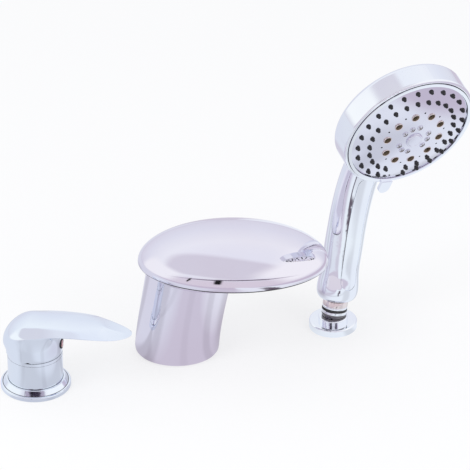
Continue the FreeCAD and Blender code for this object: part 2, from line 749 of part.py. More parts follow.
nut_tip = size("nut_tip")
nut_radius = size("nut_radius")
nut_start = size("nut_start")
cone_end = size("cone_end")
seat_cone = cone(nut_tip + GAP, nut_radius + GAP, cone_end - nut_start, nut_start)
seat_mouth = cylinder(nut_radius + GAP, nut_radius, cone_end)
seat_floor = cylinder(nut_tip + GAP, nut_radius, nut_start - nut_radius)
seat_cutter = fused(seat_cone, seat_mouth, seat_floor)
seat_cutter.Placement = leaning
ferrule = turned([
    (0, tube_rise + GAP), (foot_radius, tube_rise + GAP), (foot_radius, guide_height),
    (size("ferrule_radius"), guide_height), (size("ferrule_radius"), guide_height + size("ferrule_height")),
    (0, guide_height + size("ferrule_height")),
])
ferrule_crown = circle_at(guide_height + size("ferrule_height"), size("ferrule_radius"))
ferrule = round_edges(ferrule, size("ferrule_round"), ferrule_crown)
node("guide_ferrule", less(ferrule, seat_cutter), guide)

# Hose nut, its washer and the handle's threaded tail
nut_end = size("nut_end")
groove_foot = size("groove_height")
groove_floor = nut_radius - size("groove_depth")
washer_floor = size("washer_floor")
tail_radius = size("tail_radius")
hose_bore = size("hose_bore")
hose_nut = turned([
    (hose_bore, nut_start), (nut_tip, nut_start), (nut_radius, cone_end), (nut_radius, groove_foot),
    (groove_floor, groove_foot), (groove_floor, groove_foot + size("groove_width")),
    (nut_radius, groove_foot + size("groove_width")), (nut_radius, nut_end),
    (tail_radius + RUN, nut_end), (tail_radius + RUN, washer_floor), (hose_bore, washer_floor),
])
node("hose_nut", hose_nut, shower)
node("hose_washer", tube(tail_radius, hose_bore, size("shower_washer"), washer_floor), shower)


# Handle: oval sections along a line that bends forward into the back of the head
HANDLE_STEPS = 9
BEND_POWER = 4
# Width and depth at the head as shares of those at the foot, and how much each is drawn in midway
TOP_WIDTH, WAIST_WIDTH = 1.14, 0.16
TOP_DEPTH, WAIST_DEPTH = 0.74, 0.10


handle_top = size("face_up") + size("handle_over")
handle_bend = size("face_forward") - size("head_setback")


def swell(share, low, high):
    """Goes smoothly from low to high as share goes from 0 to 1."""
    return low + (high - low) * share * share * (3 - 2 * share)


def handle_section(share, inset, start, top):
    """One oval section, square to the handle's bent centre line."""
    bend = handle_bend.number
    up = start + (top - start) * share
    slope = BEND_POWER * bend * share ** (BEND_POWER - 1) / (top - start)
    midway = share * (1 - share)
    half_width = number("handle_half_width") * (swell(share, 1.0, TOP_WIDTH) - WAIST_WIDTH * midway)
    half_depth = number("handle_half_depth") * (swell(share, 1.0, TOP_DEPTH) - WAIST_DEPTH * midway)
    tilt = FreeCAD.Rotation(FreeCAD.Vector(0, 1, 0), math.degrees(math.atan(slope)))
    spot = FreeCAD.Vector(bend * share ** BEND_POWER, 0, up)
    wide = Part.Ellipse(FreeCAD.Vector(), half_width - inset, half_depth - inset).toShape()
    wide.Placement = FreeCAD.Placement(spot, tilt * FreeCAD.Rotation(FreeCAD.Vector(0, 0, 1), 90))
    return Part.Wire([wide])


def handle_form(inset):
    """The handle as a solid, or the same form drawn in all round by inset."""
    start = number("handle_start") + inset
    top = handle_top.number - inset
    bevel = number("handle_bevel")
    sections = [handle_section(0, inset + bevel, start, top)]
    first = bevel / (top - start)
    shares = [first + (1 - first) * i / HANDLE_STEPS for i in range(HANDLE_STEPS + 1)]
    sections += [handle_section(share, inset, start, top) for share in shares]
    return free_form(Part.makeLoft(sections, True, False))


handle_solid = handle_form(0)
handle_core = handle_form(number("panel_depth"))
panel_start = size("panel_start")
panel_end = size("panel_end")
panel_width = size("panel_width")


def panel_zone(spare):
    """The stretch of the handle's front that the panel fills, with rounded ends."""
    reach = size("handle_half_depth") * 4
    half = panel_width * 0.5 + spare
    low = panel_start + panel_width * 0.5
    high = panel_end - panel_width * 0.5
    pieces = [block(reach, half * 2, high - low, low, reach * 0.5)]
    for height in (low, high):
        end = bind(add("Part::Cylinder"), Radius=half, Height=reach)
        end.Placement.Rotation = FreeCAD.Rotation(FreeCAD.Vector(0, 1, 0), 90)
        pieces.append(lift(end, height))
    return fused(*pieces)


node("handle_panel", less(common(handle_solid, panel_zone(0)), handle_core), shower)
panel_recess = less(panel_zone(GAP), handle_core)
tail_foot = washer_floor + size("shower_washer")
tail = cylinder(tail_radius, size("handle_start") + size("handle_bevel") - tail_foot, tail_foot)
waterway = cylinder(size("waterway"), size("waterway_length"), washer_floor)


# Head: its own frame has Z out of the spray face and X towards the top of the face
face_tilt = FreeCAD.Rotation(FreeCAD.Vector(0, 1, 0), 90 + number("face_tilt"))
face_spot = FreeCAD.Vector(number("face_forward"), 0, number("face_up"))
half_turn = FreeCAD.Rotation(FreeCAD.Vector(0, 0, 1), 180)
head_frame = FreeCAD.Placement(face_spot, face_tilt * half_turn)
head = shower * head_frame

head_radius = size("head_radius")
rim_depth = size("rim_depth")
head_wall = size("head_wall")
head_inner = head_radius - head_wall
back = ellipsoid(head_radius, head_radius, size("head_back"), 0, -rim_depth)
rim = cylinder(head_radius, rim_depth, -rim_depth)
behind_face = cylinder(head_radius * 2, head_radius * 2, head_radius * -2)
shell = round_edges(fused(common(back, behind_face), rim), size("head_round"), circle_at(0, head_radius))
hollow_back = ellipsoid(head_inner, head_inner, size("head_back") - head_wall, 0, -rim_depth)
hollow = fused(common(hollow_back, behind_face), cylinder(head_inner, rim_depth + 1, -rim_depth))
neck = fused(handle_solid, tail)
hollow.Placement = head_frame
shell.Placement = head_frame
handle_without_head = less(neck, panel_recess, waterway)
whole_handle = less(fused(handle_without_head, shell), hollow)
node("handle_shell", whole_handle, shower)

# Selector: a ring in the rim with a tab that stands over it at the lower edge
ring_outer = head_inner - GAP
ring_inner = ring_outer - size("selector_width")
proud = size("selector_proud")
tab_width = size("tab_width")
tab_reach = size("tab_reach")
ring = tube(ring_outer, ring_inner, size("selector_depth") + proud, -size("selector_depth"))
tab_straight = tab_reach - tab_width * 0.5
tab_bar = block(tab_straight - ring_outer + 1, tab_width, size("tab_thickness"), GAP,
                (tab_straight + ring_outer - 1) * -0.5)
tab_end = cylinder(tab_width * 0.5, size("tab_thickness"), GAP, -tab_straight)
node("selector_ring", fused(ring, tab_bar, tab_end), head)

# Spray face: a shallow dome with a hole for every nozzle
face_radius = ring_inner - GAP
face_rise = size("face_rise")
swing = (face_radius.number ** 2 + face_rise.number ** 2) / (2 * face_rise.number)
dome_radius = Size(swing, f"((pow({face_radius.formula}; 2) + pow({face_rise.formula}; 2))"
                   f" / (2 * {face_rise.formula}))")


def dome_ball(spare):
    """The ball whose cap is the face, or one inside it."""
    ball = bind(add("Part::Sphere"), Radius=dome_radius - spare)
    return lift(ball, face_rise - dome_radius)


def dome_height(radius):
    """How far the face's dome stands over its rim at this distance from the centre."""
    return math.sqrt(dome_radius.number ** 2 - radius ** 2) - (dome_radius.number - face_rise.number)


face_rim = size("face_rim")
face_blank = common(dome_ball(0), cylinder(face_radius, face_rise * 2 + face_rim, -face_rim))
face_shell = less(face_blank, dome_ball(size("face_thickness")))
places = int(number("nozzle_places"))
jets = int(number("jet_count"))
BOTTOM = 180


def ring_of(radius, angles):
    """Angle and place of each nozzle on one ring."""
    return [(angle, at_angle(angle, radius), dome_height(radius.number)) for angle in angles]


around = [BOTTOM + 360 / places * i for i in range(1, places)]
jet_angles = [BOTTOM + 360 / jets * (i + 0.5) for i in range(jets)]
needle_angles = [BOTTOM + 360 / jets * i for i in range(jets)]
mist_angles = [middle + step for middle in (28, 148, 268) for step in (-30, 0, 30)]
outer_circle = face_radius - size("outer_margin")
inner_circle = outer_circle - size("ring_spacing")
jet_circle = inner_circle - size("jet_spacing")
outer_ring = ring_of(outer_circle, around)
inner_ring = ring_of(inner_circle, around)
jet_ring = ring_of(jet_circle, jet_angles)
needle_ring = ring_of(jet_circle + size("needle_offset"), needle_angles)
mist_ring = ring_of(size("mist_circle"), mist_angles)
through = size("face_thickness") + size("nozzle_stand")


def plugs(ring, radius, stand, bore=None):
    """A nozzle in each place of a ring, from behind the face to a little in front of it."""
    made = []
    for _, (x, y), height in ring:
        foot = sized(height) - through
        nozzle = cylinder(radius, through + stand, foot, x, y)
        if bore is not None:
            nozzle = less(nozzle, cylinder(bore, through + stand, foot + through * 0.5, x, y))
        made.append(nozzle)
    return made


nozzle_radius = size("nozzle_radius")
jet_radius = size("jet_radius")
mist_radius = size("mist_radius")
cutters = []
for ring_places, radius in ((outer_ring, nozzle_radius), (inner_ring, nozzle_radius),
                            (jet_ring, jet_radius), (needle_ring, size("needle_radius")),
                            (mist_ring, mist_radius)):
    cutters += plugs(ring_places, radius, size("nozzle_stand"))
# The cap stands on a flat seat, where the dome's crown is taken off
cap_radius = size("cap_radius")
cap_foot = sized(dome_height(cap_radius.number))
cap_seat = cylinder(cap_radius + GAP, size("cap_thickness"), cap_foot)
node("spray_face", less(face_shell, group(cutters), cap_seat), head)
stand = size("nozzle_stand")
jet_stand = size("jet_stand")
node("outer_nozzles", group(plugs(outer_ring, nozzle_radius - RUN, stand)), head)
node("inner_nozzles", group(plugs(inner_ring, nozzle_radius - RUN, stand)), head)
node("massage_jets", group(plugs(jet_ring, jet_radius - RUN, jet_stand, size("jet_bore"))), head)
node("mist_jets", group(plugs(mist_ring, mist_radius - RUN, jet_stand)), head)
node("centre_cap", cylinder(cap_radius, size("cap_thickness"), cap_foot), head)
plate_top = -size("plate_depth")
water_plate = tube(head_inner - GAP, size("plate_inlet"), size("plate_thickness"), plate_top)
node("water_plate", water_plate, head)

doc.recompute()
faults = [thing.Label for thing in doc.Objects if "Invalid" in thing.State or "Error" in thing.State]
for name, piece in nodes.items():
    if piece.Shape.isNull() or not piece.Shape.isValid() or not piece.Shape.Solids:
        faults.append(name)
if faults:
    raise SystemExit(f"Not made: {faults}")

os.makedirs("parts", exist_ok=True)
for name, piece in nodes.items():
    piece.Shape.exportStep(f"parts/{name}.step")
print(f"{len(nodes)} nodes, {sum(len(piece.Shape.Solids) for piece in nodes.values())} solids")
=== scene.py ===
"""Looks of a three-hole bath mixer: a lever control, a waterfall spout and a hand shower.

Metres, in the same frame as the solids: the origin is the centre of the spout's base on the deck,
+X runs from the control towards the hand shower and +Y points away from the bather. The sizes that the
stations hold are in millimetres and degrees.
"""
from __future__ import annotations

import logging
import math
from collections.abc import Callable, Iterable
from dataclasses import dataclass
from enum import Enum

import bmesh
import bpy
from mathutils import Matrix, Vector


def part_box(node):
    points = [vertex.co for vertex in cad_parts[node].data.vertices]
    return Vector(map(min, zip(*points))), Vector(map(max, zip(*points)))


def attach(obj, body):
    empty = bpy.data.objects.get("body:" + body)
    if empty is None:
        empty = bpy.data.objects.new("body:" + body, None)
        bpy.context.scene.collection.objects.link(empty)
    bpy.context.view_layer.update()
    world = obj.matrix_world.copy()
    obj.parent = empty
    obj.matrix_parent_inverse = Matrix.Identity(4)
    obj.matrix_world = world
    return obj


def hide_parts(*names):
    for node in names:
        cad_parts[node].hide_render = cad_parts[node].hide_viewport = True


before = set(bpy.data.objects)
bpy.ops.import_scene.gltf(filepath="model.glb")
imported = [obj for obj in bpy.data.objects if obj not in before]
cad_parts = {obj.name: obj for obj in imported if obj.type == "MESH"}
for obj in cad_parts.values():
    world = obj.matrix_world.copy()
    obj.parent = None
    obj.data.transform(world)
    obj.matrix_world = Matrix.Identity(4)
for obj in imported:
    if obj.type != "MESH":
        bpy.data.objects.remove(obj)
for spare in ("Cube", "Camera", "Light"):
    if spare in bpy.data.objects:
        bpy.data.objects.remove(bpy.data.objects[spare])
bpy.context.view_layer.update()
LOG = logging.getLogger("bath_mixer")
MM = 0.001
WELD_REACH = 1e-5
CLOSED_REACH = 1e-6

Colour = tuple[float, float, float]
Profile = list[tuple[float, float]]


class Body(Enum):
    """The bodies that the scene's own pieces ride on."""

    DECK_FIXINGS = "deck_fixings"
    LEVER = "lever"
    HAND_SHOWER = "hand_shower"
    HOSE_END = "hose_end"


class Slot(Enum):
    """The record's material slots, which the calls pass along for the scene's own pieces but nothing reads."""

    CHROME = "chrome"
    BRASS = "brass"
    RUBBER = "rubber"
    INDEX_PLUG = "index_plug"
    SPRAY_FACE = "spray_face"
    NOZZLE_RUBBER = "nozzle_rubber"
    JET_PLASTIC = "jet_plastic"


class Effect(Enum):
    """The shader node groups that the finishes share."""

    DRIFT = "tone_drift"
    MARKS = "handling_marks"
    GRAIN = "moulded_grain"


# Mesh building


def as_piece(name: str, shape: bmesh.types.BMesh, place: Matrix, edge_angle: float = 30.0) -> bpy.types.Object:
    """Turns a shape into a piece of the scene, smooth but for its sharp edges.

    Args:
        name: The piece's name.
        shape: The shape, in millimetres, which is used up.
        place: Where the shape's own frame stands, in metres.
        edge_angle: Edges sharper than this, in degrees, stay sharp.

    Returns:
        The piece.
    """
    bmesh.ops.recalc_face_normals(shape, faces=shape.faces)
    mesh = bpy.data.meshes.new(name)
    shape.to_mesh(mesh)
    shape.free()
    mesh.transform(place @ Matrix.Scale(MM, 4))
    mesh.shade_smooth()
    mesh.set_sharp_from_angle(angle=math.radians(edge_angle))
    piece = bpy.data.objects.new(name, mesh)
    bpy.context.scene.collection.objects.link(piece)
    return piece


def turned(forms: Iterable[tuple[int, Profile]], spots: Iterable[Matrix] = (), steps: int = 96,
           reach: Callable[[float, float], float] | None = None) -> bmesh.types.BMesh:
    """A shape made of forms that are turned about Z.

    Args:
        forms: Each form's material slot, and its profile as the radius and height of each ring in
            millimetres, where a radius of 0 closes the form.
        spots: Where the forms stand in the shape's frame. With none, they stand on its own axis.
        steps: How many points each ring has.
        reach: Gives another radius from a ring's radius and the angle.

    Returns:
        The shape.
    """
    shape = bmesh.new()
    for slot, profile in forms:
        for spot in spots or (Matrix.Identity(4),):
            rings = []
            for radius, height in profile:
                turns = [2 * math.pi * i / steps for i in range(steps)] if radius > CLOSED_REACH else [0.0]
                reaches = [reach(radius, turn) if reach else radius for turn in turns]
                rings.append([shape.verts.new(spot @ Vector((far * math.cos(turn), far * math.sin(turn), height)))
                              for far, turn in zip(reaches, turns)])
            for lower, upper in zip(rings, rings[1:]):
                for i in range(steps):
                    corners = list(dict.fromkeys((lower[i % len(lower)], lower[(i + 1) % len(lower)],
                                                  upper[(i + 1) % len(upper)], upper[i % len(upper)])))
                    if len(corners) > 2:
                        shape.faces.new(corners).material_index = slot
    return shape


def bead(radius: float, level: float, size: float, corners: int) -> Profile:
    """The closed profile of a bead of this size that runs round at a radius and a level."""
    turns = [2 * math.pi * (i % corners) / corners for i in range(corners + 1)]
    return [(radius + size * math.cos(turn), level + size * math.sin(turn)) for turn in turns]


# Shader building


class Wiring:
    """Adds and joins the nodes of one shader tree."""

    def __init__(self, tree: bpy.types.NodeTree) -> None:
        """Keeps the tree to build in."""
        self.tree = tree

    def node(self, kind: str, settings: dict[str, object] | None = None, **inputs: object) -> bpy.types.Node:
        """Adds a node, sets it up and feeds its inputs.

        Args:
            kind: Blender's name of the node type, without its ShaderNode.
            settings: Properties of the node itself.
            inputs: Values or output sockets by input name, with _ for a space.

        Returns:
            The new node.
        """
        made = self.tree.nodes.new(f"ShaderNode{kind}")
        for name, value in (settings or {}).items():
            setattr(made, name, value)
        for name, value in inputs.items():
            self.feed(made.inputs[name.replace("_", " ")], value)
        return made

    def feed(self, socket: bpy.types.NodeSocket, value: object) -> None:
        """Links an output to a socket, or sets the socket's own value.

        Args:
            socket: The input socket.
            value: An output socket, a number or a colour.
        """
        if isinstance(value, bpy.types.NodeSocket):
            self.tree.links.new(value, socket)
        elif isinstance(value, tuple) and len(value) == 3 and socket.type == "RGBA":
            socket.default_value = (*value, 1.0)
        else:
            socket.default_value = value

    def effect(self, effect: Effect, **inputs: object) -> bpy.types.Node:
        """Places one of the shared node groups, with its own values."""
        return self.node("Group", {"node_tree": bpy.data.node_groups[effect.value]}, **inputs)

    def maths(self, operation: str, *values: object) -> bpy.types.NodeSocket:
        """A sum with numbers or sockets.

        Args:
            operation: Blender's name of the operation.
            values: Up to three numbers or sockets.

        Returns:
            The result's socket.
        """
        made = self.node("Math", {"operation": operation})
        for socket, value in zip(made.inputs, values):
            self.feed(socket, value)
        return made.outputs[0]

    def squared(self, value: object) -> bpy.types.NodeSocket:
        """A number or socket times itself."""
        return self.maths("MULTIPLY", value, value)

    def spot(self) -> bpy.types.NodeSocket:
        """Where a point of the surface lies in its piece's own frame."""
        return self.node("TexCoord").outputs["Object"]

    def mixed(self, share: object, first: object, second: object) -> bpy.types.NodeSocket:
        """A mix of two colours, with a share from 0 to 1 of the second."""
        made = self.node("Mix", {"data_type": "RGBA"}, Factor=share, A=first, B=second)
        return made.outputs["Result"]

    def either(self, share: object, first: bpy.types.Node, second: bpy.types.Node) -> bpy.types.Node:
        """A mix of two shaders.

        Args:
            share: How much of the second shader, from 0 to 1.
            first: The first shader.
            second: The second shader.

        Returns:
            The mixing node.
        """
        made = self.node("MixShader", Fac=share)
        for socket, shader in zip(list(made.inputs)[1:], (first, second)):
            self.feed(socket, shader.outputs[0])
        return made

    def between(self, value: object, low: float, high: float, start: float = 0.0,
                end: float = 1.0) -> bpy.types.NodeSocket:
        """Goes smoothly from start to end as the value goes from low to high."""
        return self.node("MapRange", {"interpolation_type": "SMOOTHSTEP"}, Value=value, From_Min=low,
                         From_Max=high, To_Min=start, To_Max=end).outputs[0]

    def along(self, direction: bpy.types.NodeSocket, axis: Vector) -> bpy.types.NodeSocket:
        """How far a direction goes along an axis.

        Args:
            direction: The direction's socket.
            axis: The axis.

        Returns:
            The length's socket.
        """
        made = self.node("VectorMath", {"operation": "DOT_PRODUCT"})
        self.feed(made.inputs[0], direction)
        self.feed(made.inputs[1], axis)
        return made.outputs["Value"]

    def ramp(self, place: object, stops: Iterable[tuple[float, Colour]]) -> bpy.types.NodeSocket:
        """A run of colours.

        Args:
            place: The socket that says where along the run to read, from 0 to 1.
            stops: The places and their colours.

        Returns:
            The colour's socket.
        """
        made = self.node("ValToRGB", Fac=place)
        elements = made.color_ramp.elements
        for i, (spot, colour) in enumerate(stops):
            element = elements[i] if i < 2 else elements.new(spot)
            element.position = spot
            element.color = (*colour, 1.0)
        return made.outputs["Color"]


def effect_group(effect: Effect, inputs: dict[str, object],
                 *outputs: str) -> tuple[Wiring, bpy.types.NodeOutputs, bpy.types.NodeInputs]:
    """Starts a shader node group with named sockets.

    Args:
        effect: The effect that the group makes.
        inputs: The default value of each input, a number or a colour.
        outputs: The name of each output, which is a colour if it is called so.

    Returns:
        A wiring for the group, the sockets of its inputs and those of its outputs.
    """
    group = bpy.data.node_groups.new(effect.value, "ShaderNodeTree")
    number, colour = "NodeSocketFloat", "NodeSocketColor"
    for label, value in inputs.items():
        kind = number if isinstance(value, float) else colour
        group.interface.new_socket(label, in_out="INPUT", socket_type=kind).default_value = value
    for label in outputs:
        group.interface.new_socket(label, in_out="OUTPUT", socket_type=colour if label == "Colour" else number)
    return Wiring(group), group.nodes.new("NodeGroupInput").outputs, group.nodes.new("NodeGroupOutput").inputs


def handling_marks() -> None:
    """The effect of wiping and handling: soft smudges, fine wipe lines and a little waviness."""
    wiring, given, made = effect_group(
        Effect.MARKS, {"Smudge Scale": 60.0, "Lowest": 0.03, "Highest": 0.09, "Wipe Lines": 0.15},
        "Roughness", "Height")
    spot = wiring.spot()
    smudge = wiring.node("TexNoise", Vector=spot, Scale=given["Smudge Scale"], Detail=4.0, Roughness=0.55)
    stretched = wiring.node("Mapping", Vector=spot, Scale=(900.0, 140.0, 140.0), Rotation=(0.3, 0.5, 0.9))
    lines = wiring.node("TexNoise", Vector=stretched.outputs[0], Scale=1.0, Detail=2.0)
    fine = wiring.maths("MULTIPLY", wiring.between(lines.outputs[0], 0.62, 0.75), given["Wipe Lines"])
    soft = wiring.between(smudge.outputs[0], 0.35, 0.75)
    share = wiring.maths("MINIMUM", wiring.maths("ADD", soft, fine), 1.0)
    span = wiring.maths("SUBTRACT", given["Highest"], given["Lowest"])
    wiring.feed(made["Roughness"], wiring.maths("MULTIPLY_ADD", share, span, given["Lowest"]))
    wiring.feed(made["Height"], wiring.maths("MULTIPLY_ADD", fine, 0.2, smudge.outputs[0]))


def tone_drift() -> None:
    """The slow change of a finish's tone from place to place."""
    wiring, given, made = effect_group(
        Effect.DRIFT, {"Main": (0.8, 0.8, 0.8, 1), "Other": (0.7, 0.7, 0.7, 1), "Patch Scale": 20.0}, "Colour")
    spot = wiring.spot()
    patch = wiring.node("TexNoise", Vector=spot, Scale=given["Patch Scale"], Detail=3.0)
    share = wiring.between(patch.outputs[0], 0.3, 0.7)
    wiring.feed(made["Colour"], wiring.mixed(share, given["Main"], given["Other"]))


def moulded_grain() -> None:
    """The fine pitted grain of a moulding or of a turned face."""
    wiring, given, made = effect_group(Effect.GRAIN, {"Grain Scale": 900.0}, "Height")
    spot = wiring.spot()
    cells = wiring.node("TexVoronoi", Vector=spot, Scale=given["Grain Scale"])
    noise = wiring.node("TexNoise", Vector=spot, Scale=given["Grain Scale"], Detail=3.0)
    height = wiring.maths("MULTIPLY_ADD", noise.outputs[0], 0.6, cells.outputs["Distance"])
    wiring.feed(made["Height"], height)


@dataclass(frozen=True)
class Finish:
    """A finish's two tones, its gloss and its fine relief. What it starts from is a plain moulding."""

    name: str
    main: Colour
    other: Colour
    patch_scale: float = 20.0
    lowest: float = 0.3
    highest: float = 0.5
    smudge_scale: float = 80.0
    wipe_lines: float = 0.2
    relief: Effect = Effect.GRAIN
    grain_scale: float = 1100.0
    relief_strength: float = 0.1
    relief_depth: float = 0.0001
    metallic: float = 0.0
    coat: float = 0.0

    def build(self) -> bpy.types.Material:
        """Makes the material.

        Returns:
            The material.
        """
        material = bpy.data.materials.new(self.name)
        material.use_nodes = True
        wiring = Wiring(material.node_tree)
        surface = material.node_tree.nodes["Principled BSDF"]
        tone = wiring.effect(Effect.DRIFT, Main=self.main, Other=self.other, Patch_Scale=self.patch_scale)
        marks = wiring.effect(Effect.MARKS, Smudge_Scale=self.smudge_scale, Lowest=self.lowest,
                              Highest=self.highest, Wipe_Lines=self.wipe_lines)
        relief = marks if self.relief is Effect.MARKS else wiring.effect(self.relief, Grain_Scale=self.grain_scale)
        bump = wiring.node("Bump", Height=relief.outputs["Height"], Strength=self.relief_strength,
                           Distance=self.relief_depth)
        for label, value in (("Base Color", tone.outputs["Colour"]), ("Roughness", marks.outputs["Roughness"]),
                             ("Normal", bump.outputs["Normal"]), ("Metallic", self.metallic),
                             ("Coat Weight", self.coat)):
            wiring.feed(surface.inputs[label], value)
        return material


@dataclass(frozen=True)
class ChromePlate(Finish):
    """Polished plate that mirrors what is round it, with faint smudges and waves."""

    lowest: float = 0.02
    highest: float = 0.075
    smudge_scale: float = 45.0
    wipe_lines: float = 0.25
    relief: Effect = Effect.MARKS
    relief_strength: float = 0.12
    relief_depth: float = 0.0004
    metallic: float = 1.0


@dataclass(frozen=True)
class BareMetal(Finish):
    """Turned or pressed metal below the deck, with tool lines in it."""

    lowest: float = 0.22
    highest: float = 0.42
    smudge_scale: float = 120.0
    wipe_lines: float = 0.6
    grain_scale: float = 1400.0
    relief_strength: float = 0.15
    metallic: float = 1.0


@dataclass(frozen=True)
class Moulding(Finish):
    """Plastic, rubber or ceramic: a coloured body with a fine grain and its own gloss."""


CONTROL_CHROME = ChromePlate("control_chrome", (0.86, 0.92, 0.98), (0.82, 0.87, 0.96))
SPOUT_CHROME = ChromePlate("spout_chrome", (0.84, 0.82, 0.90), (0.82, 0.78, 0.86), patch_scale=12.0)
SHOWER_CHROME = ChromePlate("shower_chrome", (0.90, 0.93, 0.97), (0.86, 0.88, 0.95), smudge_scale=60.0)
FACE_CHROME = ChromePlate("face_chrome", (0.80, 0.80, 0.88), (0.74, 0.74, 0.84), patch_scale=14.0,
                          lowest=0.06, highest=0.16)
ROSE_CHROME = ChromePlate("rose_tinted_chrome", (0.78, 0.68, 0.66), (0.84, 0.76, 0.76), highest=0.12)
# Dark chrome that stands for shade, not a plating of its own: painted shade in the control's corner lines and in
# the hose nut's seat
PAINTED_SHADE_CHROME = ChromePlate("painted_shade_chrome", (0.13, 0.12, 0.13), (0.20, 0.19, 0.20), highest=0.12)
BRASS = BareMetal("turned_brass", (0.66, 0.48, 0.22), (0.58, 0.42, 0.20))
STEEL = BareMetal("plated_steel", (0.56, 0.57, 0.60), (0.48, 0.49, 0.51), lowest=0.28, highest=0.5)
RUBBER = Moulding("black_rubber", (0.020, 0.020, 0.022), (0.035, 0.034, 0.036), lowest=0.55, highest=0.75)
CERAMIC = Moulding("ground_ceramic", (0.86, 0.85, 0.80), (0.80, 0.79, 0.75), lowest=0.08, highest=0.2)
INNER_PLASTIC = Moulding("natural_plastic", (0.72, 0.70, 0.64), (0.66, 0.64, 0.59), lowest=0.4, highest=0.6)
TRAY_PLASTIC = Moulding("tray_plastic", (0.62, 0.63, 0.67), (0.56, 0.57, 0.61), lowest=0.3, highest=0.45)
NOZZLE_RUBBER = Moulding("nozzle_silicone", (0.008, 0.008, 0.010), (0.022, 0.021, 0.023), lowest=0.28,
                         highest=0.45, relief_strength=0.05)
JET_PLASTIC = Moulding("smoky_jet_plastic", (0.11, 0.08, 0.05), (0.22, 0.17, 0.12), patch_scale=260.0,
                       lowest=0.35, highest=0.5)
PLUG_PLASTIC = Moulding("index_plastic", (0.62, 0.20, 0.20), (0.74, 0.52, 0.54), patch_scale=420.0,
                        lowest=0.15, highest=0.3, coat=0.4)


class Wardrobe:
    """Makes each finish's material once, and puts it on pieces and solids."""

    def __init__(self) -> None:
        """Makes the shared effects."""
        for make_effect in (handling_marks, tone_drift, moulded_grain):
            make_effect()
        self.made: dict[str, bpy.types.Material] = {}

    def dress(self, piece: bpy.types.Object, *finishes: Finish) -> None:
        """Gives a piece its finishes.

        Args:
            piece: The piece.
            finishes: One finish for each of its material slots, in their order.
        """
        if len(piece.data.materials):
            piece.data.materials.clear()
        for finish in finishes:
            if finish.name not in self.made:
                self.made[finish.name] = finish.build()
            piece.data.materials.append(self.made[finish.name])
        LOG.info("%s wears %s", piece.name, ", ".join(finish.name for finish in finishes))

    def dress_nodes(self, worn: dict[Finish, tuple[str, ...]]) -> None:
        """Gives the solids that stay as they are their finishes.

        Args:
            worn: The names of the solids that wear each finish.
        """
        for finish, names in worn.items():
            for name in names:
                self.dress(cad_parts[name], finish)

    def fit(self, name: str, shape: bmesh.types.BMesh, place: Matrix, body: Body, slot: Slot, *finishes: Finish,
            solid: str = "", edge_angle: float = 30.0, weld: bool = True) -> None:
        """Makes a shape into a dressed piece that rides on its body.

        Args:
            name: The piece's name.
            shape: The shape, in millimetres, which is used up.
            place: Where the shape's own frame stands, in metres.
            body: The body that the piece rides on.
            slot: The record's material slot; not used.
            finishes: One finish for each of the piece's material slots.
            solid: The name of the solid that it replaces, if it does.
            edge_angle: Edges sharper than this, in degrees, stay sharp.
            weld: Whether points that lie on each other become one.
        """
        if weld:
            bmesh.ops.remove_doubles(shape, verts=shape.verts, dist=WELD_REACH)
        piece = as_piece(name, shape, place, edge_angle)
        self.dress(piece, *finishes)
        if solid:
            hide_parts(solid)
        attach(piece, body.value)


# The three stations


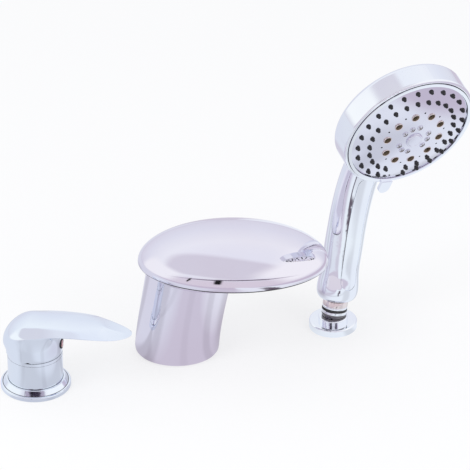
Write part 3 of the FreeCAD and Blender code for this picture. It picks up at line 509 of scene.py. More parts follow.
@dataclass(frozen=True)
class DeckFixing:
    """The thread and the hexagon nut that hold one station under the deck."""

    label: str
    shank: float
    place: Matrix
    wardrobe: Wardrobe
    metal: Finish
    metal_slot: Slot
    thread_ranges: tuple[tuple[float, float], ...] = ((-51.5, -35.5), (-19.6, -0.6))
    pitch: float = 1.5
    ridge_share: float = 0.42
    ridge_height: float = 0.4
    ridge_root: float = 0.1
    ridge_steps: int = 40
    nut_low: float = -35.5
    nut_high: float = -25.5
    nut_wall: float = 5.0
    bore_gap: float = 0.05
    bore_bevel: float = 0.8
    face_share: float = 0.96
    corner_cut: float = 1.6
    cut_steps: int = 4

    def wind(self, shape: bmesh.types.BMesh, low: float, high: float) -> None:
        """Winds the thread's ridge round the shank.

        Args:
            shape: The shape to add to.
            low: Where the thread starts.
            high: Where it ends.
        """
        root, crest = self.shank - self.ridge_root, self.shank + self.ridge_height
        half = self.pitch * self.ridge_share
        count = int((high - low - self.pitch) / self.pitch * self.ridge_steps)
        before: list[bmesh.types.BMVert] = []
        for i in range(count + 1):
            turn = 2 * math.pi * i / self.ridge_steps
            level = low + self.pitch * 0.5 + self.pitch * i / self.ridge_steps
            fade = min(1.0, i / self.ridge_steps, (count - i) / self.ridge_steps)
            ring = []
            for far, height in ((root, -half), (crest, 0.0), (root, half)):
                far = min(far, root + (self.ridge_height + self.ridge_root) * fade)
                ring.append(shape.verts.new((far * math.cos(turn), far * math.sin(turn), level + height)))
            for corners in zip(before, before[1:], ring[1:], ring):
                shape.faces.new(corners)
            before = ring

    def thread(self) -> None:
        """The screw thread on the shank, above the clamp and below the nut."""
        shape = bmesh.new()
        for low, high in self.thread_ranges:
            self.wind(shape, low, high)
        self.wardrobe.fit(f"{self.label}_thread", shape, self.place, Body.DECK_FIXINGS, self.metal_slot,
                          self.metal, edge_angle=20.0, weld=False)

    def nut(self) -> None:
        """The hexagon nut, with its corners turned off at both faces."""
        flats = self.shank + self.nut_wall
        corner = flats / math.cos(math.radians(30))
        face = flats * self.face_share
        bore, bevel = self.shank + self.bore_gap, self.bore_bevel
        low, high = self.nut_low, self.nut_high
        steps = self.cut_steps
        cone = [(face + (corner - face) * i / steps, self.corner_cut * i / steps) for i in range(steps + 1)]
        profile = [(bore, low + bevel), (bore + bevel, low)]
        profile += [(radius, low + height) for radius, height in cone]
        profile += [(radius, high - height) for radius, height in reversed(cone)]
        profile += [(bore + bevel, high), (bore, high - bevel), (bore, low + bevel)]

        def six_sided(radius: float, turn: float) -> float:
            """The smaller of the ring's own radius and the hexagon's.

            Args:
                radius: The ring's radius.
                turn: The angle about the nut's axis.

            Returns:
                The radius at this angle.
            """
            if radius <= bore + bevel:
                return radius
            side = (turn + math.pi / 6) % (math.pi / 3) - math.pi / 6
            return min(radius, flats / math.cos(math.pi / 6 - abs(side)))

        self.wardrobe.fit(f"{self.label}_hexagon_nut", turned([(0, profile)], reach=six_sided), self.place,
                          Body.DECK_FIXINGS, Slot.BRASS, BRASS, solid=f"{self.label}_nut", edge_angle=25.0)

    def build(self) -> None:
        """Makes the thread and the nut, and dresses the rubber washer and the clamp ring."""
        self.thread()
        self.nut()
        self.wardrobe.dress_nodes({RUBBER: (f"{self.label}_washer",), STEEL: (f"{self.label}_clamp_ring",)})


@dataclass
class Station:
    """What stands on the deck at one place."""

    wardrobe: Wardrobe
    east: float = 0.0
    north: float = 0.0

    @property
    def place(self) -> Matrix:
        """Where the station stands, in metres."""
        return Matrix.Translation((self.east * MM, self.north * MM, 0))


def blended(first: float, second: float, share: float) -> float:
    """A value between two others, the second at a share of 1."""
    return first + (second - first) * share


@dataclass(frozen=True)
class Ease:
    """A smooth change from 0 to 1 that starts at a value and takes a run, backwards if that is negative."""

    start: float
    run: float

    def at(self, value: float) -> float:
        """How far the change has come at a value."""
        share = min(1.0, max(0.0, (value - self.start) / self.run))
        return share * share * (3 - 2 * share)


@dataclass(frozen=True)
class Course:
    """A smooth line through given values, each at its place along the lever."""

    stops: tuple[tuple[float, float], ...]

    def slope(self, index: int) -> float:
        """The line's slope at one of its stops.

        Args:
            index: Which stop.

        Returns:
            The slope.
        """
        last = len(self.stops) - 1
        before, after = self.stops[max(0, index - 1)], self.stops[min(last, index + 1)]
        return (after[1] - before[1]) / (after[0] - before[0])

    def at(self, place: float) -> float:
        """The value at a place, which stays inside the line's ends.

        Args:
            place: The place along the lever.

        Returns:
            The value.
        """
        place = min(self.stops[-1][0], max(self.stops[0][0], place))
        index = max(i for i, stop in enumerate(self.stops[:-1]) if stop[0] <= place)
        (start, low), (end, high) = self.stops[index], self.stops[index + 1]
        span = end - start
        t = (place - start) / span
        return (low * (1 + 2 * t) * (1 - t) ** 2 + high * (3 - 2 * t) * t * t
                + span * t * (1 - t) * (self.slope(index) * (1 - t) - self.slope(index + 1) * t))


@dataclass(frozen=True)
class LeverLeaf:
    """The lever's outer form: a domed hub that runs out in a crowned leaf with a flank along each side.

    Lengths are in millimetres in the control's frame, with X along the lever. The courses run along X:
    half the leaf's width squared, the levels of its edge and its crown, and how far out its ridge lies,
    as a share of the half width. Of the changes, flank goes by the ridge's place, crease by the place
    along the lever, arm by the reach from the axis, rear and rump by the direction's share of X, and
    waist by the edge's level. Where two values make a pair, the second one holds at the change's end.
    """

    tail: float = -26.8
    tip: float = 84.3
    dome_middle: float = -2.5
    dome_long: float = 24.3
    dome_half: float = 23.5
    dome_level: float = 43.0
    dome_rise: float = 21.5
    hub: float = 23.5
    foot: float = 33.8
    pivot: float = 28.4
    ball: float = 24.4
    cavity: float = 20.5
    ceiling: float = 46.0
    around: int = 264
    rows: int = 46
    wall_rows: int = 16
    flank: Ease = Ease(0.62, 0.36)
    crease: Ease = Ease(-17.0, 26.0)
    crease_softness: float = 0.10
    arm: Ease = Ease(24.5, 12.0)
    rear: Ease = Ease(0.10, -0.18)
    rump: Ease = Ease(0.0, -0.3)
    waist: Ease = Ease(57.0, -13.0)
    waist_levels: tuple[float, float] = (44.0, 36.5)
    lip: tuple[tuple[float, float], ...] = ((0.10, 0.3), (0.42, 0.6))
    under_share: float = 0.9
    under_drops: tuple[float, float] = (3.2, 0.3)
    waist_pulls: tuple[float, float] = (2.5, 12.0)
    rump_swells: tuple[float, float] = (0.6, 0.15)
    skirt_rows: tuple[float, ...] = (0.35, 0.7, 0.96)
    foot_width: float = 0.15
    wall: float = 0.3
    cavity_rows: tuple[float, ...] = (0.02, 0.2, 0.45, 0.7, 0.9, 1.0)
    width_squared: Course = Course(((-13.0, 534.0), (-2.5, 552.0), (8.0, 534.0), (19.0, 492.0), (30.0, 454.0),
                                    (41.0, 424.0), (52.0, 370.0), (63.0, 272.0), (73.5, 148.0), (84.3, 0.0)))
    edge: Course = Course(((-26.8, 43.0), (-20.0, 48.8), (-12.0, 53.7), (-2.0, 57.4), (8.0, 59.4), (19.0, 60.7),
                           (30.0, 61.3), (41.0, 61.3), (52.0, 60.7), (63.0, 59.5), (73.5, 58.5), (84.3, 58.2)))
    crown: Course = Course(((-13.0, 65.1), (-2.5, 64.5), (8.0, 65.1), (19.0, 65.5), (30.0, 65.6), (41.0, 65.3),
                            (52.0, 64.4), (63.0, 62.8), (73.5, 60.7), (84.3, 58.2)))
    ridge: Course = Course(((-12.0, 0.62), (-2.0, 0.56), (8.0, 0.55), (19.0, 0.58), (30.0, 0.62), (41.0, 0.68),
                            (52.0, 0.80), (63.0, 0.91), (73.5, 0.93)))

    def dome_share(self, along: float) -> float:
        """How much of the dome's size is left at a place behind its middle, from 1 to 0."""
        return math.sqrt(max(0.0, 1 - ((along - self.dome_middle) / self.dome_long) ** 2))

    def half_width(self, along: float) -> float:
        """Half the leaf's width at a place along it."""
        leaf = math.sqrt(max(0.0, self.width_squared.at(along)))
        return self.dome_half * self.dome_share(along) if along < self.dome_middle else leaf

    def top(self, along: float, across: float) -> float:
        """The height of the leaf's top over one spot.

        Args:
            along: The spot's place along the lever.
            across: Its place across the lever.

        Returns:
            The height.
        """
        edge, ridge, half = self.edge.at(along), self.ridge.at(along), self.half_width(along)
        share = min(1.0, abs(across) / half) if half > CLOSED_REACH else 0.0
        behind = along < self.dome_middle
        crown = self.dome_level + self.dome_rise * self.dome_share(along) if behind else self.crown.at(along)
        rise = max(0.0, crown - edge)
        domed = edge + rise * math.sqrt(max(0.0, 1 - share ** 2))
        # The crown falls slowly as far as the ridge, and the flank runs straight from there to the edge
        drop = blended(min(1.0, rise), rise, self.flank.at(ridge))
        high, low = crown - drop / ridge ** 2 * share ** 2, edge + (rise - drop) / (1 - ridge) * (1 - share)
        soft = self.crease_softness * min(1.0, rise)
        creased = (high + low) / 2 - math.sqrt(((high - low) / 2) ** 2 + soft * soft)
        return blended(domed, creased, self.crease.at(along))

    def side(self, along: float, across: float) -> list[tuple[float, float]]:
        """The line from the leaf's edge down to the foot and up inside, as reach from the axis and height.

        Args:
            along: The edge's place along the lever.
            across: Its place across the lever.

        Returns:
            The line's points, the edge itself left out.
        """
        reach, level = math.hypot(along, across), self.edge.at(along)
        # How far this line belongs to the arm, to the hub's rear half and to its rump
        arm = self.arm.at(reach) if along > 0 else 0.0
        rear, rump = self.rear.at(along / reach), self.rump.at(along / reach)
        # At the rear the foot rises so far that it clears the trim ring when the lever is lifted
        foot_reach = blended(self.hub, self.ball, rump)
        on_ball = self.pivot + math.sqrt(self.ball ** 2 - foot_reach ** 2)
        foot_level = blended(self.foot, max(self.foot, on_ball), rear)
        waist = blended(*self.waist_levels, self.waist.at(level))
        line = [(reach - inset * arm, level - drop) for inset, drop in self.lip]
        (far, low), (upper, lower) = line[-1], self.rump_swells
        bend = ((far, low),
                (far - arm * self.under_share * (reach - self.hub), low - blended(*self.under_drops, arm)),
                (foot_reach + rump * upper, waist + blended(*self.waist_pulls, arm)),
                (foot_reach + rump * lower, waist))
        for i in range(1, self.wall_rows + 1):
            t = i / self.wall_rows
            weights = ((1 - t) ** 3, 3 * t * (1 - t) ** 2, 3 * t * t * (1 - t), t ** 3)
            line.append(tuple(sum(weight * point[k] for weight, point in zip(weights, bend)) for k in (0, 1)))
        for share in self.skirt_rows:
            line.append((blended(bend[3][0], foot_reach, share), blended(waist, foot_level, share)))
        line.append((foot_reach - self.foot_width, foot_level))
        for share in self.cavity_rows:
            height = blended(foot_level, self.ceiling, share)
            ball = math.sqrt(self.ball ** 2 - (height - self.pivot) ** 2)
            line.append((min(foot_reach - self.wall, blended(self.cavity, ball, rear)), height))
        return [*line, (self.cavity * 0.4, self.ceiling)]

    def shape(self) -> bmesh.types.BMesh:
        """The closed mesh of the whole form, made of lines that run out from the hub's top.

        Returns:
            The shape.
        """
        made = bmesh.new()
        middle, half = (self.tail + self.tip) / 2, (self.tip - self.tail) / 2
        peak = made.verts.new((0, 0, self.top(0, 0)))
        inside = made.verts.new((0, 0, self.ceiling))
        lines = []
        for i in range(self.around):
            turn = 2 * math.pi * i / self.around
            along = middle + half * math.cos(turn)
            across = math.copysign(self.half_width(along), math.sin(turn)) if i % (self.around // 2) else 0.0
            line = []
            for k in range(1, self.rows + 1):
                share = math.sin(math.pi / 2 * k / self.rows)
                x, y = along * share, across * share
                line.append(made.verts.new((x, y, self.top(x, y))))
            reach = math.hypot(along, across)
            for far, height in self.side(along, across):
                line.append(made.verts.new((along / reach * far, across / reach * far, height)))
            lines.append(line)
        for line, after in zip(lines, lines[1:] + lines[:1]):
            made.faces.new((peak, line[0], after[0]))
            for corners in zip(line, line[1:], after[1:], after):
                made.faces.new(corners)
            made.faces.new((line[-1], inside, after[-1]))
        return made


@dataclass
class ControlStation(Station):
    """The lever control: rose, valve body, cartridge, lever and its index button."""

    east: float = -119.6
    north: float = -56.4
    lever_heading: float = -10.0
    shank: float = 16.5
    button_height: float = 42.4
    button_start: float = 21.6
    button_radius: float = 4.5
    # Radius, level and size of each dark bead that paints shade into a corner or seam
    painted_shade_beads: tuple[tuple[float, float, float], ...] = (
        (28.0, 3.7, 0.3), (23.6, 8.05, 0.2), (23.42, 30.6, 0.14),
    )

    @property
    def lever_place(self) -> Matrix:
        """The control's frame with X along the lever."""
        return self.place @ Matrix.Rotation(math.radians(self.lever_heading), 4, "Z")

    def index_button(self) -> None:
        """The small button at the front of the hub: a dark ring round a pale domed centre."""
        rim = self.button_radius
        ring = [(0.0, 0.0), (rim, 0.0), (rim, 2.3), (rim - 0.25, 2.6), (rim - 0.9, 2.6), (rim - 1.15, 2.1)]
        centre = [(rim - 1.15, 2.1), (rim - 1.2, 2.5), (rim - 1.7, 2.75), (1.2, 2.87), (0.0, 2.9)]
        spot = Matrix.Translation((self.button_start * MM, 0, self.button_height * MM))
        place = self.lever_place @ spot @ Matrix.Rotation(math.pi / 2, 4, "Y")
        self.wardrobe.fit("index_button", turned([(0, ring), (1, centre)], steps=64), place, Body.LEVER,
                          Slot.INDEX_PLUG, RUBBER, PLUG_PLASTIC, solid="index_plug")

    def painted_shade_lines(self) -> None:
        """Painted shade: fine dark beads in the corners of the flange's steps and under the trim ring, where shade
        falls.
        """
        forms = [(0, bead(radius, level, size, 8)) for radius, level, size in self.painted_shade_beads]
        self.wardrobe.fit("control_grooves", turned(forms, steps=160), self.place, Body.DECK_FIXINGS,
                          Slot.CHROME, PAINTED_SHADE_CHROME)

    def lever_leaf(self) -> None:
        """The lever with its domed hub, crowned top and flanks."""
        self.wardrobe.fit("lever_leaf", LeverLeaf().shape(), self.lever_place, Body.LEVER, Slot.CHROME,
                          CONTROL_CHROME, solid="lever_handle", edge_angle=50.0, weld=False)

    def build(self) -> None:
        """Makes the station's own pieces and dresses the solids that stay."""
        self.lever_leaf()
        self.painted_shade_lines()
        self.index_button()
        DeckFixing("control", self.shank, self.place, self.wardrobe, CONTROL_CHROME, Slot.CHROME).build()
        self.wardrobe.dress_nodes({
            CONTROL_CHROME: ("control_body", "control_flange", "trim_ring"),
            RUBBER: ("control_flange_seal", "cartridge_seals"),
            CERAMIC: ("fixed_disc", "moving_disc"),
            INNER_PLASTIC: ("cartridge_base", "disc_carrier", "cartridge_housing", "turning_sleeve"),
            BRASS: ("cartridge_nut",),
            STEEL: ("pivot_pin", "lever_stem", "grub_screw"),
        })


@dataclass
class SpoutStation(Station):
    """The waterfall spout: leaning column, domed cover and what carries the water."""

    shank: float = 10.3
    cover_rim: float = 88.0
    # The black bead under the cover's rim paints the shade there
    shade_bead_size: float = 0.42
    shade_bead_offset: float = 1.001
    shade_bead_inset: float = 0.5
    shade_bead_drop: float = 0.22
    shade_bead_sink: float = 0.5
    sink_start: float = 0.75

    def rim_shade_line(self) -> None:
        """A black bead between the cover's rim and the dish, which sinks out of sight at both ends: painted shade
        under the rim, not a seal.
        """
        low, high = (Vector(corner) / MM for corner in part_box("spout_cover"))
        middle = Vector(((low.x + high.x) / 2, (low.y + high.y) / 2, self.cover_rim))
        long, short = ((far - near) / 2 - self.shade_bead_inset for near, far in ((low.x, high.x), (low.y, high.y)))

        def on_oval(radius: float, turn: float) -> float:
            """The oval's reach at this turn, plus the bead's own offset.

            Args:
                radius: The bead's own offset.
                turn: The angle about the oval's middle.

            Returns:
                The reach from the oval's middle.
            """
            sunk = self.shade_bead_sink * max(0.0, abs(math.cos(turn)) - self.sink_start) / (1 - self.sink_start)
            return radius - sunk + long * short / math.hypot(short * math.cos(turn), long * math.sin(turn))

        profile = bead(self.shade_bead_size * self.shade_bead_offset, -self.shade_bead_drop, self.shade_bead_size, 12)
        shape = turned([(0, profile)], [Matrix.Translation(middle)], 200, on_oval)
        self.wardrobe.fit("cover_rim_seal", shape, self.place, Body.DECK_FIXINGS, Slot.RUBBER, RUBBER,
                          edge_angle=60.0)

    def build(self) -> None:
        """Dresses the spout's solids and makes its fixing."""
        self.rim_shade_line()
        DeckFixing("spout", self.shank, self.place, self.wardrobe, BRASS, Slot.BRASS).build()
        self.wardrobe.dress_nodes({
            SPOUT_CHROME: ("spout_body", "spout_cover"),
            TRAY_PLASTIC: ("spout_tray",),
            STEEL: ("cover_screws",),
            BRASS: ("spout_shank",),
            RUBBER: ("spout_seal",),
        })


@dataclass
class ShowerHolder(Station):
    """The low disc on the deck, its leaning seat and the tube that guides the hose."""

    east: float = 135.8
    north: float = 37.6
    tube: float = 14.0

    def build(self) -> None:
        """Dresses the holder's solids and makes its fixing."""
        DeckFixing("guide", self.tube, self.place, self.wardrobe, BRASS, Slot.BRASS).build()
        self.wardrobe.dress_nodes({
            SHOWER_CHROME: ("guide_flange", "guide_ferrule"), RUBBER: ("guide_seal",), BRASS: ("guide_tube",),
        })


@dataclass
class HandShower:
    """The hand shower: handle with its panel, head, selector and spray face."""

    wardrobe: Wardrobe
    holder: ShowerHolder
    seat_height: float = 7.0
    seat_heading: float = 54.9
    seat_lean: float = 12.3
    own_turn: float = -114.8
    face_forward: float = 72.0
    face_up: float = 197.8
    face_tilt: float = 25.2
    face_radius: float = 53.9
    face_rise: float = 9.0
    bottom: float = 180.0
    teats: int = 24
    outer_circle: float = 49.0
    inner_circle: float = 39.4
    jets: int = 10
    jet_circle: float = 25.7
    mist_circle: float = 13.7
    mist_middles: tuple[float, ...] = (28.0, 148.0, 268.0)
    mist_step: float = 30.0
    cap_radius: float = 7.4
    nut_radius: float = 11.0
    nut_bore: float = 5.5
    nut_collar: float = 8.25
    # A black bead that paints the shade in the gap round the head's rim
    gap_shade_size: float = 0.36
    gap_shade_radius: float = 57.05
    gap_shade_level: float = -0.1

    @property
    def shower_place(self) -> Matrix:
        """The hand shower's own frame: Z along the handle, X towards the spray.

        Returns:
            The frame, in metres.
        """
        place = self.holder.place @ Matrix.Translation((0, 0, self.seat_height * MM))
        for angle, axis in ((self.seat_heading, "Z"), (self.seat_lean, "Y"), (self.own_turn, "Z")):
            place = place @ Matrix.Rotation(math.radians(angle), 4, axis)
        return place

    @property
    def head_place(self) -> Matrix:
        """The head's frame: Z out of the spray face, X towards the top of the face.

        Returns:
            The frame, in metres.
        """
        spot = Matrix.Translation((self.face_forward * MM, 0, self.face_up * MM))
        tilt = Matrix.Rotation(math.radians(90 + self.face_tilt), 4, "Y")
        return self.shower_place @ spot @ tilt @ Matrix.Rotation(math.pi, 4, "Z")

    @property
    def face_ball(self) -> float:
        """The radius of the ball that the face is a part of."""
        return (self.face_radius ** 2 + self.face_rise ** 2) / (2 * self.face_rise)

    def dome_height(self, radius: float) -> float:
        """How far the face stands over its rim, at this distance from its centre."""
        return math.sqrt(self.face_ball ** 2 - radius ** 2) - (self.face_ball - self.face_rise)

    def spots(self, circle: float, angles: Iterable[float], follow: float = 0.0) -> list[Matrix]:
        """Where the nozzles of one ring stand on the face.

        Args:
            circle: The ring's radius.
            angles: The angle of each nozzle in degrees.
            follow: How much of the face's slope the nozzles take on, from 0 to 1.

        Returns:
            The frame of each nozzle, in millimetres in the head's frame.
        """
        slope = math.asin(circle / self.face_ball)
        stand = Matrix.Translation((circle, 0, self.dome_height(circle)))
        return [Matrix.Rotation(math.radians(angle), 4, "Z") @ stand @ Matrix.Rotation(slope * follow, 4, "Y")
                for angle in angles]

    def on_face(self, name: str, spots: list[Matrix], forms: list[tuple[int, Profile]], solid: str, slot: Slot,
                *finishes: Finish, steps: int = 28) -> None:
        """Makes one piece of the same turned forms at many places of the face.

        Args:
            name: The piece's name.
            spots: The frame of each place.
            forms: Each form's material slot and profile.
            solid: The solid that the piece stands for.
            slot: The record's material slot.
            finishes: A finish for each of the piece's slots.
            steps: How many points each ring has.
        """
        self.wardrobe.fit(name, turned(forms, spots, steps), self.head_place, Body.HAND_SHOWER, slot, *finishes,
                          solid=solid, edge_angle=35.0, weld=False)

    def soft_teats(self) -> None:
        """Two rings of tapered teats with a bore in each round tip, with none over the selector's tab."""
        teat = [(1.6, -2.5), (1.6, -0.9), (2.1, -0.8), (2.1, 0.35), (1.95, 0.62), (1.62, 0.85), (1.45, 1.6),
                (1.28, 2.25), (1.0, 2.55), (0.62, 2.6), (0.45, 2.45), (0.42, 1.5), (0.0, 1.45)]
        angles = [self.bottom + 360 / self.teats * i for i in range(1, self.teats)]
        for label, circle in (("outer", self.outer_circle), ("inner", self.inner_circle)):
            self.on_face(f"{label}_teats", self.spots(circle, angles), [(0, teat)], f"{label}_nozzles",
                         Slot.NOZZLE_RUBBER, NOZZLE_RUBBER)

    def massage_jets(self) -> None:
        """The large jets: a ring, a funnel and a dark floor."""
        ring = [(3.7, -1.2), (3.7, 0.35), (3.55, 0.62), (3.3, 0.64), (3.1, 0.4)]
        funnel = [(3.1, 0.4), (2.8, -0.6), (2.45, -1.6), (2.2, -2.6)]
        floor = [(2.2, -2.6), (1.2, -2.75), (0.0, -2.8)]
        angles = [self.bottom + 360 / self.jets * (i + 0.5) for i in range(self.jets)]
        self.on_face("jet_funnels", self.spots(self.jet_circle, angles), [(0, ring), (1, funnel), (2, floor)],
                     "massage_jets", Slot.JET_PLASTIC, ROSE_CHROME, JET_PLASTIC, NOZZLE_RUBBER, steps=40)

    def mist_jets(self) -> None:
        """The small jets, which stand in threes: a collar round a groove, and a pin with a bore."""
        collar = [(2.7, -0.5), (2.7, 0.2), (2.6, 0.44), (2.4, 0.52), (2.25, 0.42)]
        groove = [(2.25, 0.42), (2.15, -0.3), (1.35, -0.35), (1.25, 0.2)]
        pin = [(1.25, 0.2), (1.1, 0.36), (0.7, 0.4)]
        bore = [(0.7, 0.4), (0.6, -0.2), (0.0, -0.25)]
        angles = [middle + self.mist_step * i for middle in self.mist_middles for i in (-1, 0, 1)]
        self.on_face("mist_rosettes", self.spots(self.mist_circle, angles, 1.0),
                     [(0, collar), (1, groove), (0, pin), (1, bore)], "mist_jets", Slot.NOZZLE_RUBBER,
                     FACE_CHROME, JET_PLASTIC)

    def cap(self) -> None:
        """The bare cap at the centre of the face, with a soft edge and a shallow ring in it."""
        far = self.cap_radius
        foot = self.dome_height(far) - self.dome_height(0)
        profile = [(far, foot - 0.2), (far, foot + 0.9), (far - 0.2, foot + 1.25), (far - 0.7, foot + 1.5),
                   (far - 1.4, 1.38), (far - 1.6, 1.2), (far - 1.8, 1.4), (far * 0.4, 1.55), (0.0, 1.6)]
        self.on_face("face_cap", self.spots(0.0, [0.0]), [(0, profile)], "centre_cap", Slot.SPRAY_FACE,
                     FACE_CHROME, steps=96)

    def hose_end(self) -> None:
        """The hose nut in its bands: rose-tinted collar, bright bead, black ring and dark cone, whose dark chrome
        is painted shade of the seat it goes into.
        """
        far, bore, collar = self.nut_radius, self.nut_bore, self.nut_collar
        rose, bright, dark, black = range(4)
        bands = [
            (rose, [(collar, 8.8), (collar, 19.0), (collar + 0.3, 19.3), (far - 0.6, 19.3)]),
            (black, [(far - 0.6, 19.3), (far - 0.6, 18.5)]),
            (rose, [(far - 0.6, 18.5), (far - 0.2, 18.3), (far, 17.9), (far, 13.4), (far - 0.25, 13.1)]),
            (bright, [(far - 0.25, 13.1), (far - 0.05, 12.7), (far - 0.05, 11.5), (far - 0.2, 11.1)]),
            (black, [(far - 0.2, 11.1), (far + 0.02, 10.8), (far + 0.08, 9.7), (far + 0.02, 8.9),
                     (far - 0.3, 8.6)]),
            (bright, [(far - 0.3, 8.6), (far - 0.05, 8.3), (far, 7.9), (far, 6.3)]),
            # The dark cone is painted shade: its dark chrome stands for the shadow in the ferrule's seat
            (dark, [(far, 6.3), (far, 5.5), (far - 1.0, 3.0), (7.6, -2.7), (7.3, -3.0), (bore, -3.0),
                    (bore, 8.8), (collar, 8.8)]),
        ]
        self.wardrobe.fit("banded_hose_nut", turned(bands), self.shower_place, Body.HOSE_END, Slot.CHROME,
                          ROSE_CHROME, SHOWER_CHROME, PAINTED_SHADE_CHROME, RUBBER, solid="hose_nut")

    def rim_gasket(self) -> None:
        """The thin black bead in the gap round the head's rim: painted shade in the gap, not a gasket."""
        profile = bead(self.gap_shade_radius, self.gap_shade_level, self.gap_shade_size, 10)
        self.wardrobe.fit("rim_gasket", turned([(0, profile)], steps=160), self.head_place, Body.HAND_SHOWER,
                          Slot.RUBBER, RUBBER)

    def build(self) -> None:
        """Makes the hand shower's own pieces and dresses the solids that stay."""
        for make_piece in (self.soft_teats, self.massage_jets, self.mist_jets, self.cap, self.hose_end,
                           self.rim_gasket):
            make_piece()
        self.wardrobe.dress_nodes({
            SHOWER_CHROME: ("handle_shell", "handle_panel", "selector_ring"),
            FACE_CHROME: ("spray_face",),
            RUBBER: ("hose_washer",),
            INNER_PLASTIC: ("water_plate",),
        })


# Studio


def facing(azimuth: float, elevation: float) -> Vector:
    """The direction that points this far to the right of the front and this far up, in degrees."""
    side, lift = math.radians(azimuth), math.radians(elevation)
    return Vector((math.sin(side) * math.cos(lift), -math.cos(side) * math.cos(lift), math.sin(lift)))


@dataclass(frozen=True)
class TentPanel:
    """A sheet of cloth or card in the light tent, as the chrome mirrors it.

    Its middle, half width and half height are angles in degrees, with the front at azimuth 0.
    """

    azimuth: float
    elevation: float
    half_width: float
    half_height: float
    tone: Colour
    softness: float

    def cover(self, wiring: Wiring, direction: bpy.types.NodeSocket) -> bpy.types.NodeSocket:
        """How much of the tent the panel covers in a direction.

        Args:
            wiring: The world's wiring.
            direction: The direction's socket.

        Returns:
            The share's socket, from 0 to 1.
        """
        middle, sideways = facing(self.azimuth, self.elevation), facing(self.azimuth + 90.0, 0.0)
        upwards = sideways.cross(middle) * -1.0
        # Fourth powers give the sheet straight sides and round corners
        powers = [wiring.squared(wiring.squared(wiring.along(direction, axis / math.sin(math.radians(half)))))
                  for axis, half in ((sideways, self.half_width), (upwards, self.half_height))]
        spread = wiring.maths("POWER", wiring.maths("ADD", *powers), 1 / 4)
        cover = wiring.between(spread, 1.0 - self.softness, 1.0 + self.softness, 1.0, 0.0)
        return wiring.maths("MULTIPLY", cover, wiring.maths("GREATER_THAN", wiring.along(direction, middle), 0.0))


@dataclass(frozen=True)
class PaintedStreak:
    """A dark streak painted on the deck round one station, which only glossy rays see: a painted reflection in the
    chrome, in metres and degrees.
    """

    east: float
    north: float
    heading: float
    half_width: float
    depth: float
    start: float = 0.0
    reach: float = 0.32
    core: float = 0.3
    fade_start: float = 0.6
    rise: float = 0.04

    def share(self, wiring: Wiring, east: bpy.types.NodeSocket,
              north: bpy.types.NodeSocket) -> bpy.types.NodeSocket:
        """How strong the streak is at a spot of the deck.

        Args:
            wiring: The deck material's wiring.
            east: The spot's place along X.
            north: Its place along Y.

        Returns:
            The share's socket, from 0 to 1.
        """
        over = wiring.maths("SUBTRACT", east, self.east)
        ahead = wiring.maths("SUBTRACT", self.north, north)
        turn = wiring.maths("SUBTRACT", wiring.maths("ARCTAN2", over, ahead), math.radians(self.heading))
        away = wiring.maths("ABSOLUTE", wiring.maths("WRAP", turn, math.pi, -math.pi))
        half = math.radians(self.half_width)
        spread = wiring.maths("POWER", wiring.maths("ADD", wiring.squared(over), wiring.squared(ahead)), 1 / 2)
        near = wiring.between(spread, self.reach * self.fade_start, self.reach, self.depth, 0.0)
        near = wiring.maths("MULTIPLY", near, wiring.between(spread, self.start - self.rise, self.start))
        return wiring.maths("MULTIPLY", wiring.between(away, half * self.core, half, 1.0, 0.0), near)


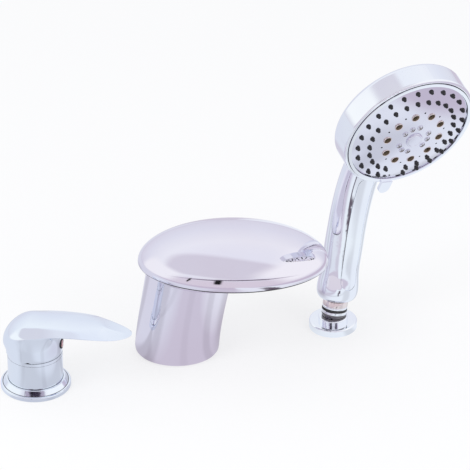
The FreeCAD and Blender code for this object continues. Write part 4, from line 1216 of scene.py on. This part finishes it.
@dataclass
class Studio:
    """The light tent, the pale deck and the camera."""

    target: tuple[float, float, float] = (0.0501, 0.0, 0.1132)
    towards: tuple[float, float, float] = (0.0, -0.8634, 0.5045)
    distance: float = 3.0
    view_width: float = 0.3995
    sensor: float = 36.0
    sight: float = 50.0
    deck_level: float = -0.0003
    deck_reach: float = 6.0
    deck_cloth: Colour = (0.93, 0.93, 0.94)
    shadow_share: float = 0.35
    white: Colour = (1.0, 1.0, 1.0)
    even_tone: Colour = (0.96, 0.97, 1.0)
    even_level: float = 0.85
    lamps: tuple[tuple[str, Colour, float], ...] = (
        ("left_lamp", (-1.1, -0.9, 1.3), 9.0), ("right_lamp", (1.3, -0.7, 1.1), 5.0),
    )
    lamp_size: float = 0.9
    sky: tuple[tuple[float, Colour], ...] = (
        (0.0, (0.60, 0.58, 0.68)), (0.48, (0.72, 0.71, 0.80)), (0.53, (0.78, 0.78, 0.86)),
        (0.70, (0.84, 0.86, 0.93)), (0.88, (0.95, 0.97, 1.0)), (1.0, (0.90, 0.92, 0.98)),
    )
    panels: tuple[TentPanel, ...] = (
        TentPanel(0.0, 6.0, 64.0, 26.0, (0.78, 0.72, 0.79), 0.35),
        TentPanel(-32.0, 70.0, 38.0, 27.0, (0.75, 0.73, 0.80), 0.14),
        TentPanel(82.0, 34.0, 38.0, 30.0, (1.02, 1.02, 1.03), 0.25),
        TentPanel(-86.0, 22.0, 30.0, 22.0, (1.0, 1.01, 1.02), 0.25),
        TentPanel(1.0, 35.0, 46.0, 1.8, (0.46, 0.40, 0.50), 0.3),
        TentPanel(1.0, 33.7, 30.0, 1.1, (0.03, 0.02, 0.04), 0.3),
        TentPanel(-12.2, 24.0, 2.7, 10.5, (0.01, 0.01, 0.01), 0.4),
        TentPanel(-38.0, 21.5, 0.9, 9.0, (0.02, 0.02, 0.02), 0.4),
    )
    # Painted reflection tones along X, which only the chrome sees on the deck
    painted_reflection_stops: tuple[tuple[float, Colour], ...] = (
        (-0.09, (0.78, 0.80, 0.88)), (-0.035, (0.69, 0.66, 0.75)), (0.075, (0.69, 0.66, 0.75)),
        (0.125, (0.90, 0.94, 0.99)),
    )
    # A darker painted reflection tone for the deck far off, and the bounds where it takes over
    far_painted_reflection: Colour = (0.66, 0.60, 0.70)
    near_end: tuple[float, float] = (-0.6, -0.35)
    spout_side: tuple[float, float] = (0.05, 0.10)
    far_east: tuple[float, float] = (0.38, 0.50)
    # The dark colour of the painted streaks, which the chrome shows as painted reflections
    painted_streak_colour: Colour = (0.10, 0.07, 0.10)
    streaks: tuple[PaintedStreak, ...] = (
        PaintedStreak(0.0, 0.0, -50.0, 15.0, 0.20), PaintedStreak(0.0, 0.0, 60.0, 13.0, 0.16),
        PaintedStreak(0.0, 0.0, 12.0, 10.0, 0.07), PaintedStreak(0.0, 0.0, -128.0, 20.0, 0.2),
        PaintedStreak(-0.1196, -0.0564, 118.0, 16.0, 0.26), PaintedStreak(-0.1196, -0.0564, 30.0, 10.0, 0.10),
        PaintedStreak(-0.1196, -0.0564, -40.0, 9.0, 0.07), PaintedStreak(0.1358, 0.0376, 50.0, 26.0, 0.20),
        PaintedStreak(0.1358, 0.0376, 128.0, 16.0, 0.25), PaintedStreak(0.1358, 0.0376, 14.0, 6.5, 0.94, 0.25, 0.7),
        PaintedStreak(0.1358, 0.0376, 8.5, 4.5, 0.94, 0.13, 0.4),
    )

    def camera(self) -> None:
        """Sets up the camera at the photograph's angle, far off with a long lens."""
        data = bpy.data.cameras.new("studio_camera")
        data.sensor_width = self.sensor
        data.lens = self.sensor * self.distance / self.view_width
        data.clip_end = self.sight
        camera = bpy.data.objects.new("studio_camera", data)
        back = Vector(self.towards).normalized()
        camera.location = Vector(self.target) + back * self.distance
        camera.rotation_mode = "QUATERNION"
        camera.rotation_quaternion = (-back).to_track_quat("-Z", "Y")
        bpy.context.scene.collection.objects.link(camera)
        bpy.context.scene.camera = camera

    def deck(self) -> None:
        """Lays the pale deck, white to the camera but for the object's own soft shadow, with a painted reflection
        tone for glossy rays.
        """
        shape = bmesh.new()
        bmesh.ops.create_grid(shape, x_segments=8, y_segments=8, size=self.deck_reach / 2 / MM)
        piece = as_piece("pale_deck", shape, Matrix.Translation((0, 0, self.deck_level)))
        material = bpy.data.materials.new("pale_deck")
        material.use_nodes = True
        tree = material.node_tree
        tree.nodes.remove(tree.nodes["Principled BSDF"])
        wiring = Wiring(tree)
        path = wiring.node("LightPath").outputs
        cloth = wiring.node("BsdfDiffuse", Color=self.deck_cloth)
        seen = wiring.either(self.shadow_share, wiring.node("Emission", Color=self.white), cloth)
        background = wiring.maths("MAXIMUM", path["Is Camera Ray"], path["Is Transmission Ray"])
        lit = wiring.either(background, cloth, seen)
        # Glossy rays see an emitted painted reflection tone here instead of the deck's white
        mirrored = wiring.node("Emission", Color=self.painted_reflection(wiring))
        front = wiring.either(path["Is Glossy Ray"], lit, mirrored)
        both = wiring.either(wiring.node("NewGeometry").outputs["Backfacing"], front,
                             wiring.node("BsdfTransparent"))
        wiring.feed(tree.nodes["Material Output"].inputs["Surface"], both.outputs[0])
        piece.data.materials.append(material)

    def painted_reflection(self, wiring: Wiring) -> bpy.types.NodeSocket:
        """The tone that the deck shows the chrome, a painted reflection, with dark painted streaks that run out
        from the stations.

        Args:
            wiring: The deck material's wiring.

        Returns:
            The colour's socket.
        """
        parts = wiring.node("SeparateXYZ", Vector=wiring.spot()).outputs
        east, north = parts[0], parts[1]
        first, last = self.painted_reflection_stops[0][0], self.painted_reflection_stops[-1][0]
        stops = [((spot - first) / (last - first), tone) for spot, tone in self.painted_reflection_stops]
        tone = wiring.ramp(wiring.between(east, first, last), stops)
        before_spout = wiring.maths("MULTIPLY", wiring.between(north, *self.near_end, 1.0, 0.0),
                                    wiring.between(east, *self.spout_side, 1.0, 0.0))
        far_off = wiring.maths("MAXIMUM", before_spout, wiring.between(east, *self.far_east))
        tone = wiring.mixed(far_off, tone, self.far_painted_reflection)
        # Dark painted streaks, seen only in the chrome as painted reflections
        for streak in self.streaks:
            tone = wiring.mixed(streak.share(wiring, east, north), tone, self.painted_streak_colour)
        return tone

    def tent(self) -> None:
        """Sets up the world: white to the camera, even light on the object, and a tent in its chrome."""
        world = bpy.data.worlds.new("light_tent")
        bpy.context.scene.world = world
        world.use_nodes = True
        tree = world.node_tree
        tree.nodes.remove(tree.nodes["Background"])
        wiring = Wiring(tree)
        path = wiring.node("LightPath").outputs
        direction = wiring.node("TexCoord").outputs["Generated"]
        up = wiring.node("SeparateXYZ", Vector=direction).outputs[2]
        tone = wiring.ramp(wiring.maths("MULTIPLY_ADD", up, 0.5, 0.5), self.sky)
        for panel in self.panels:
            tone = wiring.mixed(panel.cover(wiring, direction), tone, panel.tone)
        even = wiring.node("Background", Color=self.even_tone, Strength=self.even_level)
        in_chrome = wiring.maths("MAXIMUM", path["Is Glossy Ray"], path["Is Transmission Ray"])
        unseen = wiring.either(in_chrome, even, wiring.node("Background", Color=tone))
        both = wiring.either(path["Is Camera Ray"], unseen, wiring.node("Background", Color=self.white))
        wiring.feed(tree.nodes["World Output"].inputs["Surface"], both.outputs[0])

    def hang_lamps(self) -> None:
        """Hangs the soft square lamps, which face the object."""
        for name, spot, power in self.lamps:
            data = bpy.data.lights.new(name, "AREA")
            data.size = self.lamp_size
            data.energy = power
            lamp = bpy.data.objects.new(name, data)
            lamp.location = spot
            lamp.rotation_mode = "QUATERNION"
            lamp.rotation_quaternion = (Vector(self.target) - Vector(spot)).to_track_quat("-Z", "Y")
            lamp.visible_glossy = False
            bpy.context.scene.collection.objects.link(lamp)

    def build(self) -> None:
        """Sets up the whole studio."""
        bpy.context.scene.view_settings.view_transform = "Standard"
        self.camera()
        self.deck()
        self.tent()
        self.hang_lamps()
        LOG.info("studio is up")


def main() -> None:
    """Builds the studio and dresses each station in turn."""
    logging.basicConfig(level=logging.INFO, format="%(message)s", force=True)
    Studio().build()
    wardrobe = Wardrobe()
    holder = ShowerHolder(wardrobe)
    for part in (ControlStation(wardrobe), SpoutStation(wardrobe), holder, HandShower(wardrobe, holder)):
        part.build()
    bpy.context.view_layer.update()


if __name__ == "__main__":
    main()
